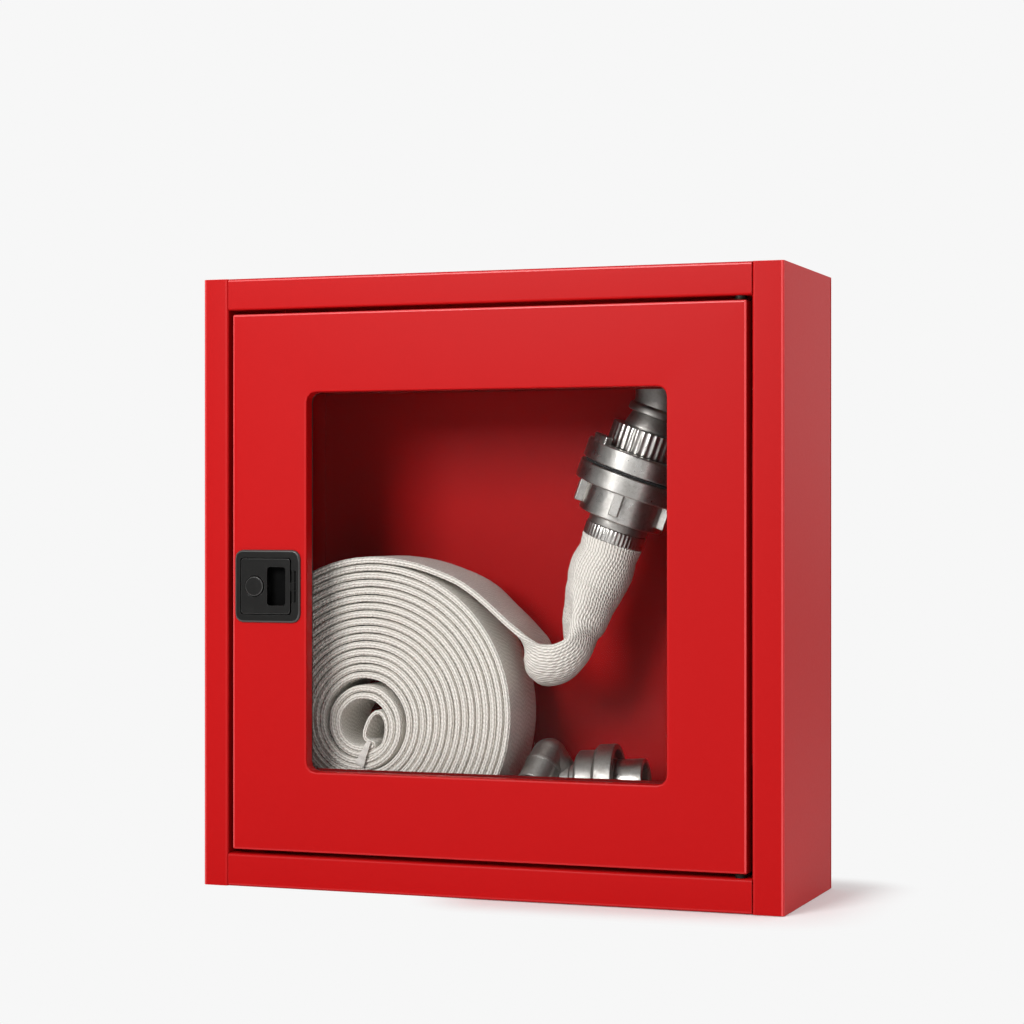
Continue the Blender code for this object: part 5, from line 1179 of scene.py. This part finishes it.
@dataclass
class BranchFittings:
    """The loose branch on its bracket: elbow, ring pair and tail."""

    workshop: Workshop
    axis: Vector = field(default_factory=lambda: Vector((0.9936, 0.0957, 0.0600)).normalized())
    origin: Vector = field(default_factory=lambda: Vector((0.0735, -0.0030, 0.1090)))
    mouth: Vector = field(default_factory=lambda: Vector((0.0346, -0.0416, 0.1122)))
    corner: Vector = field(default_factory=lambda: Vector((0.0420, -0.0120, 0.1415)))
    neck_radius: float = 0.0275
    neck_length: float = 0.0195
    ring_radius: float = 0.039
    ring_length: float = 0.021
    lock_radius: float = 0.0445
    lock_length: float = 0.0215
    tail_radius: float = 0.028
    tail_length: float = 0.029
    bore: float = 0.022
    pipe_radius: float = 0.0192
    pipe_bore: float = 0.0150
    bead_place: float = 0.025
    bead_radius: float = 0.0204
    bead_length: float = 0.0035

    def build(self) -> list[bpy.types.Object]:
        """Makes the four pieces.

        Returns:
            The pieces.
        """
        shop = self.workshop
        place = axis_frame(self.origin, self.axis, Vector((0, 0, 1)))
        casting = shop.palette.casting
        start = self.ring_length + FIT
        end = start + self.lock_length
        tail = end + FIT
        tail_end = tail + self.tail_length
        ring = turned(((self.bore, 0.0), (self.ring_radius - 0.0035, 0.0), (self.ring_radius, 0.0030),
                       (self.ring_radius, self.ring_length - 0.0008), (self.ring_radius - 0.0008, self.ring_length),
                       (self.bore, self.ring_length)), place, 0.0007)
        lock = turned(((self.bore, start), (self.lock_radius - 0.0028, start), (self.lock_radius, start + 0.0032),
                       (self.lock_radius, end - 0.0008), (self.lock_radius - 0.0008, end),
                       (self.lock_radius - 0.0060, end), (self.lock_radius - 0.0078, end - 0.0070),
                       (self.tail_radius + 0.0012, end - 0.0070), (self.tail_radius + 0.0004, end - 0.0004),
                       (self.bore, end - 0.0004)), place, 0.0006)
        spout = turned(((self.bore, tail), (self.tail_radius, tail), (self.tail_radius, tail_end - 0.0009),
                        (self.tail_radius - 0.0009, tail_end), (self.bore + 0.0022, tail_end),
                        (self.bore, tail_end - 0.0022)), place, 0.0004)
        return [
            shop.piece("branch_bend", self.elbow(place), casting, Slot.ALLOY, "case", "branch_elbow", sharp=50.0),
            shop.piece("branch_shoulder", ring, casting, Slot.ALLOY, "case", "branch_ring"),
            shop.piece("branch_lock", lock, casting, Slot.ALLOY, "branch_ring_body", "branch_lock_ring"),
            shop.piece("branch_spout", spout, shop.palette.alloy, Slot.ALLOY, "case", "branch_tail"),
        ]

    def elbow(self, place: Matrix) -> bmesh.types.BMesh:
        """Makes the bend: a bored leg with its bead, a round knee, a falling leg and the flared neck."""
        knee = self.origin + self.axis * (-self.neck_length * 0.7)
        leg = self.corner - self.mouth
        radius, bead = self.pipe_radius, self.bead_place
        side = Vector((0, 0, 1))
        upper = turned((
            (self.pipe_bore, leg.length * 0.86), (self.pipe_bore, 0.0012), (self.pipe_bore + 0.0014, 0.0),
            (radius - 0.0010, 0.0), (radius, 0.0010), (radius, bead - 0.0006), (self.bead_radius, bead),
            (self.bead_radius, bead + self.bead_length), (radius + 0.0001, bead + self.bead_length + 0.0008),
            (radius, leg.length), (0.0, leg.length), (0.0, leg.length * 0.86)),
            axis_frame(self.mouth, leg, side), 0.0003, closed=True)
        fall = knee - self.corner
        lower = turned(((0.0, 0.0), (radius, 0.0), (radius, fall.length), (0.0, fall.length)),
                       axis_frame(self.corner, fall, self.axis), closed=False)
        ball = bmesh.new()
        bmesh.ops.create_uvsphere(ball, u_segments=48, v_segments=28, radius=radius,
                                  matrix=axis_frame(self.corner, leg, side))
        neck = turned(((0.0, -self.neck_length), (self.neck_radius - 0.0030, -self.neck_length),
                       (self.neck_radius, -self.neck_length + 0.0030), (self.neck_radius, -0.0070),
                       (self.neck_radius - 0.0012, -0.0062), (self.neck_radius - 0.0012, -FIT), (self.bore, -FIT),
                       (self.bore, -self.neck_length / 2), (0.0, -self.neck_length / 2)), place, 0.0006, closed=False)
        return gathered([upper, lower, ball, neck])


@dataclass
class Handwheel:
    """The valve's wheel: a round rim, four spokes and a hub."""

    workshop: Workshop
    centre: Vector
    rear: float
    radius: float = 0.036
    rim: float = 0.006
    hub_radius: float = 0.012
    stem_radius: float = 0.006
    spokes: int = 4
    spoke_radius: float = 0.0038

    def build(self) -> bpy.types.Object:
        """Makes the wheel."""
        place = axis_frame(Vector((self.centre.x, 0.0, self.centre.z)), Vector((0, 1, 0)), Vector((0, 0, 1)))
        middle, front = self.rear - self.rim, self.rear - 2 * self.rim
        profile = [(self.radius + self.rim * math.cos(math.tau * i / 20), middle + self.rim * math.sin(math.tau * i / 20))
                   for i in range(20)]
        shapes = [turned(profile, place)]
        hole = self.stem_radius + FIT
        shapes.append(turned(((hole, self.rear), (self.hub_radius, self.rear), (self.hub_radius, front), (hole, front)),
                             place, 0.0012, steps=48))
        for i in range(self.spokes):
            out = Matrix.Rotation(math.tau * (i + 0.5) / self.spokes, 3, "Y") @ Vector((1, 0, 0))
            start = Vector((self.centre.x, middle, self.centre.z)) + out * (hole + self.hub_radius) / 2
            length = self.radius - (hole + self.hub_radius) / 2
            shapes.append(turned(((0.0, 0.0), (self.spoke_radius, 0.0), (self.spoke_radius, length), (0.0, length)),
                                 axis_frame(start, out, Vector((0, 1, 0))), closed=False, steps=24))
        return self.workshop.piece("valve_handwheel", gathered(shapes), self.workshop.palette.wheel, Slot.WHEEL,
                                   "handwheel", "handwheel")


@dataclass
class FormedSheet:
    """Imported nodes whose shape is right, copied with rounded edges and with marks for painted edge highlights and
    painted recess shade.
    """

    workshop: Workshop
    # Strengths of the painted edge highlight: on the front third of bends, on edges that face the middle, and on edges
    # that face down.
    bend_share: float = 0.8
    inner_share: float = 0.12
    lower_share: float = 0.3
    # Depth behind the front past which a face counts as a recess floor, which takes painted shade.
    recess: float = 0.006
    edges: tuple = (
        ("left_side_panel", 0.0006, 0.0), ("right_side_panel", 0.0006, 0.0), ("top_panel", 0.0006, 0.0),
        ("bottom_panel", 0.0006, 0.0), ("back_panel", 0.0005, 0.0), ("floor_shelf", 0.0005, 0.0),
        ("door_panel", 0.0006, 0.0), ("latch_bezel", 0.0006, 0.0020), ("latch_flap", 0.0006, 0.0009),
        ("lock_knob", 0.0010, 0.0), ("branch_bracket", 0.0006, 0.0), ("glazing_strip_left_upper", 0.0003, 0.0),
        ("glazing_strip_left_lower", 0.0003, 0.0),
    )
    lip_cut: float = 0.005

    def build(self, slots: dict[str, Slot]) -> None:
        """Copies each node with its edges rounded.

        Args:
            slots: The record's slot of each node.
        """
        for node, width, rim in self.edges:
            self.rounded(node, width, rim, slots[node])

    def outline(self, mesh: bmesh.types.BMesh) -> list[bmesh.types.BMEdge]:
        """Finds the edges round the outside of a shape's front face."""
        front = min(vert.co.y for vert in mesh.verts)
        middle = sum((vert.co for vert in mesh.verts), Vector()) / len(mesh.verts)
        found = []
        for edge in mesh.edges:
            if len(edge.link_faces) == 2 and all(vert.co.y < front + 1e-4 for vert in edge.verts):
                outward = (edge.verts[0].co + edge.verts[1].co) / 2 - middle
                if any(abs(face.normal.y) < 0.2 and face.normal.dot(outward) > 0 for face in edge.link_faces):
                    found.append(edge)
        return found

    def softened(self, mesh: bmesh.types.BMesh, edges: list[bmesh.types.BMEdge], width: float, steps: int,
                 mark: bmesh.types.BMLayerItem) -> None:
        """Rounds edges and marks the faces that this makes, for the painted edge highlight.

        Args:
            mesh: The shape.
            edges: Its edges to round.
            width: How far.
            steps: Faces across each.
            mark: The face layer that takes the mark.
        """
        made = bmesh.ops.bevel(mesh, geom=edges, offset=width, offset_type="OFFSET", affect="EDGES", segments=steps,
                               profile=0.5, material=-1, clamp_overlap=True, loop_slide=True)
        for face in made["faces"]:
            face[mark] = 1.0

    def paint_edge_highlights(self, mesh: bmesh.types.BMesh, mark: bmesh.types.BMLayerItem) -> None:
        """Sets the painted edge highlight as if lit from above: keeps the mark on edges and front-facing bend faces
        that face out from the front's middle, and weakens it on the others and on faces that look down.
        """
        middle = (CAD_BOX[0] + CAD_BOX[1]) / 2
        for face in mesh.faces:
            normal = face.normal
            strength = face[mark] or (self.bend_share if -0.992 < normal.y < -0.86 else 0.0)
            offset = face.calc_center_median() - middle
            outward = normal.x * offset.x + normal.z * offset.z > 0
            face[mark] = strength * (1.0 if outward else self.inner_share) * (self.lower_share if normal.z < -0.2 else 1.0)

    def mark_recess_shade(self, mesh: bmesh.types.BMesh) -> None:
        """Marks the floor of a recess, which the plastic paints near-black as painted shade."""
        deep = mesh.faces.layers.float.new("deep")
        front = min(vert.co.y for vert in mesh.verts)
        for face in mesh.faces:
            if face.normal.y < -0.5 and face.calc_center_median().y > front + self.recess:
                face[deep] = 1.0

    def cut_lip(self, mesh: bmesh.types.BMesh) -> None:
        """Draws a left strip's lip back behind the window's edge."""
        end = max(vert.co.x for vert in mesh.verts)
        lip = [vert for vert in mesh.verts if vert.co.x > end - 1e-4]
        bmesh.ops.translate(mesh, verts=lip, vec=(-self.lip_cut, 0.0, 0.0))

    def rounded(self, node: str, width: float, rim: float, slot: Slot) -> bpy.types.Object:
        """Copies one node.

        Args:
            node: The node's name.
            width: How far its edges are rounded.
            rim: How far the outside of its front face is rounded, or 0.
            slot: Its finish.

        Returns:
            The piece that stands for it.
        """
        source = frame["nodes"][node]
        mesh = bmesh.new()
        mesh.from_mesh(source.data)
        bmesh.ops.remove_doubles(mesh, verts=mesh.verts, dist=2e-6)
        palette = self.workshop.palette
        material = palette.for_slot(slot)
        # The glazing strips take the darkened paint as painted shade; their lips are drawn back behind the window's
        # edge.
        if node.startswith("glazing_strip"):
            material = palette.shaded_strip_paint
            self.cut_lip(mesh)
        bmesh.ops.dissolve_limit(mesh, angle_limit=math.radians(1.0), use_dissolve_boundaries=False,
                                 verts=list(mesh.verts), edges=list(mesh.edges), delimit=set())
        # The edge mark carries the painted edge highlight.
        mark = mesh.faces.layers.float.new("edge")
        if rim:
            self.softened(mesh, self.outline(mesh), rim, 4, mark)
        sharp = [e for e in mesh.edges if len(e.link_faces) == 2 and e.calc_face_angle() > math.radians(29.0)]
        self.softened(mesh, sharp, width, 2, mark)
        # Paint keeps the painted edge highlight on faces that face the light; the other finishes mark recess floors for
        # painted shade.
        if slot is Slot.PAINT:
            self.paint_edge_highlights(mesh, mark)
        else:
            self.mark_recess_shade(mesh)
        bmesh.ops.triangulate(mesh, faces=[f for f in mesh.faces if len(f.verts) > 4])
        return self.workshop.piece(node + "_formed", mesh, material, slot, source["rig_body"], node, sharp=60.0,
                                   weighted=True)


@dataclass
class FixingPlugs:
    """Rubber plugs that close the four wall fixing holes until they are used."""

    workshop: Workshop
    half_span: float = 0.230
    low: float = 0.070
    high: float = 0.615
    cap_radius: float = 0.0066
    cap_thickness: float = 0.0016
    stem_radius: float = 0.0042
    stem_length: float = 0.0013

    def build(self) -> bpy.types.Object:
        """Makes the four plugs on the inside of the back."""
        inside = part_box("back_panel")[0].y - FIT / 3
        profile = ((0.0, self.cap_thickness), (self.cap_radius - 0.0012, self.cap_thickness), (self.cap_radius, 0.0),
                   (self.stem_radius, 0.0), (self.stem_radius, -self.stem_length), (0.0, -self.stem_length))
        plugs = [turned(profile, axis_frame(Vector((x, inside, z)), Vector((0, -1, 0)), Vector((1, 0, 0))), 0.0003,
                        closed=False, steps=32)
                 for x in (-self.half_span, self.half_span) for z in (self.low, self.high)]
        return self.workshop.piece("fixing_plugs", gathered(plugs), self.workshop.palette.rubber, Slot.RUBBER, "case")


@dataclass
class Studio:
    """Camera, lamps, pale floor and background."""

    eye: tuple[float, float, float] = (0.9391, -2.5707, 0.3991)
    turn: tuple[float, float, float] = (90.028, 0.0, 20.156)
    lens: float = 89.93
    sensor: float = 36.0
    white: float = 0.930
    ambient: float = 0.44
    front: float = 0.22

    def build_camera(self) -> None:
        """Sets the camera where the photograph was taken from."""
        data = bpy.data.cameras.new("photo_view")
        data.lens, data.sensor_width = self.lens, self.sensor
        camera = bpy.data.objects.new("photo_view", data)
        camera.location = self.eye
        camera.rotation_euler = [math.radians(angle) for angle in self.turn]
        bpy.context.scene.collection.objects.link(camera)
        bpy.context.scene.camera = camera

    def build_lamp(self, name: str, place: Vector, target: Vector, size: float, power: float,
                   colour: Colour = (1.0, 1.0, 1.0)) -> None:
        """Hangs a soft lamp.

        Args:
            name: Its name.
            place: Where it hangs.
            target: What it points at.
            size: Side of its square.
            power: Its power in watts.
            colour: Its colour.
        """
        data = bpy.data.lights.new(name, "AREA")
        data.size, data.energy, data.color = size, power, colour
        lamp = bpy.data.objects.new(name, data)
        lamp.location = place
        lamp.rotation_euler = (target - place).to_track_quat("-Z", "Y").to_euler()
        bpy.context.scene.collection.objects.link(lamp)

    def build_world(self) -> None:
        """Makes an even light with a white background, which mirrors see dimmer towards the dark front of the room."""
        world = bpy.data.worlds.new("studio")
        bpy.context.scene.world = world
        world.use_nodes = True
        graph = Graph(world.node_tree)
        ray = graph.node("ShaderNodeLightPath", output="Is Camera Ray")
        mirrored = ray.out("Is Glossy Ray").most(ray.out("Is Transmission Ray")) * (1 - ray)
        heading = graph.node("ShaderNodeSeparateXYZ", {}, {0: graph.node("ShaderNodeTexCoord", output="Generated")})
        room = heading.out("Y").between(-0.55, 0.75) * (self.white - self.front) + self.front
        back = world.node_tree.nodes["Background"]
        graph.feed(back.inputs["Color"], (1.0, 1.0, 1.0))
        graph.feed(back.inputs["Strength"], ray * self.white + mirrored * room + (1 - ray) * (1 - mirrored) * self.ambient)

    def build_floor(self) -> None:
        """Lays a pale floor that keeps the shadow near the object."""
        mesh = bmesh.new()
        bmesh.ops.create_grid(mesh, x_segments=1, y_segments=1, size=30.0)
        data = bpy.data.meshes.new("studio_floor")
        mesh.to_mesh(data)
        mesh.free()
        floor = bpy.data.objects.new("studio_floor", data)
        floor.location.z = -0.0004
        bpy.context.scene.collection.objects.link(floor)
        graph = Graph.for_material("studio_floor")
        split = graph.node("ShaderNodeSeparateXYZ", {}, {0: graph.place()})
        beside = (abs(split - 0.17) - 0.15).most(0.0) ** 2.0 + (abs(split.out("Y")) - 0.10).most(0.0) ** 2.0
        near = 1 - (beside ** 0.5).between(0.015, 0.10)
        seen = graph.node("ShaderNodeLightPath", output="Is Camera Ray")
        glow = graph.node("ShaderNodeEmission", {}, {"Color": (self.white,) * 3, "Strength": 1.0})
        matt = graph.node("ShaderNodeBsdfDiffuse", {}, {"Color": (0.84, 0.84, 0.84)})
        lit = graph.node("ShaderNodeMixShader", {}, {0: 1 - seen * (1 - near * 0.90), 1: glow, 2: matt})
        graph.feed(graph.tree.nodes["Material Output"].inputs["Surface"], lit)
        data.materials.append(graph.material)

    def build_light(self) -> None:
        """Hangs the lamps, the world and the floor."""
        bpy.context.scene.view_settings.view_transform = "Standard"
        target = Vector((0.0, 0.0, 0.34))
        self.build_lamp("key", Vector((-0.75, -2.80, 1.48)), target, 1.2, 83.0)
        self.build_lamp("fill", Vector((2.5, 0.35, 1.45)), target, 1.3, 24.0)
        self.build_lamp("top", Vector((0.3, 0.1, 2.6)), target, 2.0, 12.0)
        self.build_world()
        self.build_floor()


@dataclass
class Cabinet:
    """The whole dressed cabinet."""

    workshop: Workshop
    foot: Vector = field(default_factory=lambda: Vector((0.1063, 0.0075, 0.3701)))
    tilt: float = math.radians(20.0)
    viewer: Vector = field(default_factory=lambda: Vector((0.345, -0.939, 0.0)))
    end_x: float = 0.196
    end_radius: float = 0.060

    def slots(self) -> dict[str, Slot]:
        """Gives the record's slot of each node."""
        return {part["node"]: Slot(part["material_slot"]) for part in frame["record"]["subparts"]}

    def dress_nodes(self) -> None:
        """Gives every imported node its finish."""
        for node, slot in self.slots().items():
            data = frame["nodes"][node].data
            data.materials.clear()
            palette = self.workshop.palette
            # Hinge bushes, glazing strips and hinge pins take darkened finishes as painted shade.
            special = {"hinge_bush": palette.bush_metal_painted_shade, "glazing_strip": palette.shaded_strip_paint, "hinge_pin": palette.pin_steel_painted_shade}
            found = [finish for part, finish in special.items() if part in node]
            data.materials.append(found[0] if found else palette.for_slot(slot))

    def build_hose(self) -> None:
        """Makes the hose with its two couplings."""
        hose = Hose(self.workshop)
        axis = Vector((math.sin(self.tilt), 0.0, math.cos(self.tilt)))
        upper = axis_frame(self.foot, axis, self.viewer)
        end_foot = Vector((self.end_x, 0.0, FLOOR_TOP + FIT + self.end_radius))
        across = Vector((1, 0, 0))
        valve_half = HoseCoupling(self.workshop, "hose", upper, "hose_ring")
        end_half = HoseCoupling(self.workshop, "end", axis_frame(end_foot, across, Vector((0, 0, 1))), "end_ring")
        valve_half.build()
        fittings = end_half.build()
        hose.build_lead(self.foot, axis)
        hose.build_run(end_foot, across)
        hose.build_roll()
        hose.build_tie()
        ValveCoupling(self.workshop, upper, self.tilt, valve_half.heights()[2]).build()

    def build(self) -> None:
        """Makes every piece."""
        self.dress_nodes()
        self.build_hose()
        BranchFittings(self.workshop).build()
        low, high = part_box("handwheel")
        Handwheel(self.workshop, (low + high) / 2, high.y).build()
        FormedSheet(self.workshop).build(self.slots())
        FixingPlugs(self.workshop).build()


def main() -> None:
    """Builds the camera, the cabinet and the studio in order."""
    logging.basicConfig(level=logging.INFO, format="%(message)s")
    studio = Studio()
    studio.build_camera()
    Cabinet(Workshop(Palette())).build()
    studio.build_light()


if __name__ == "__main__":
    main()
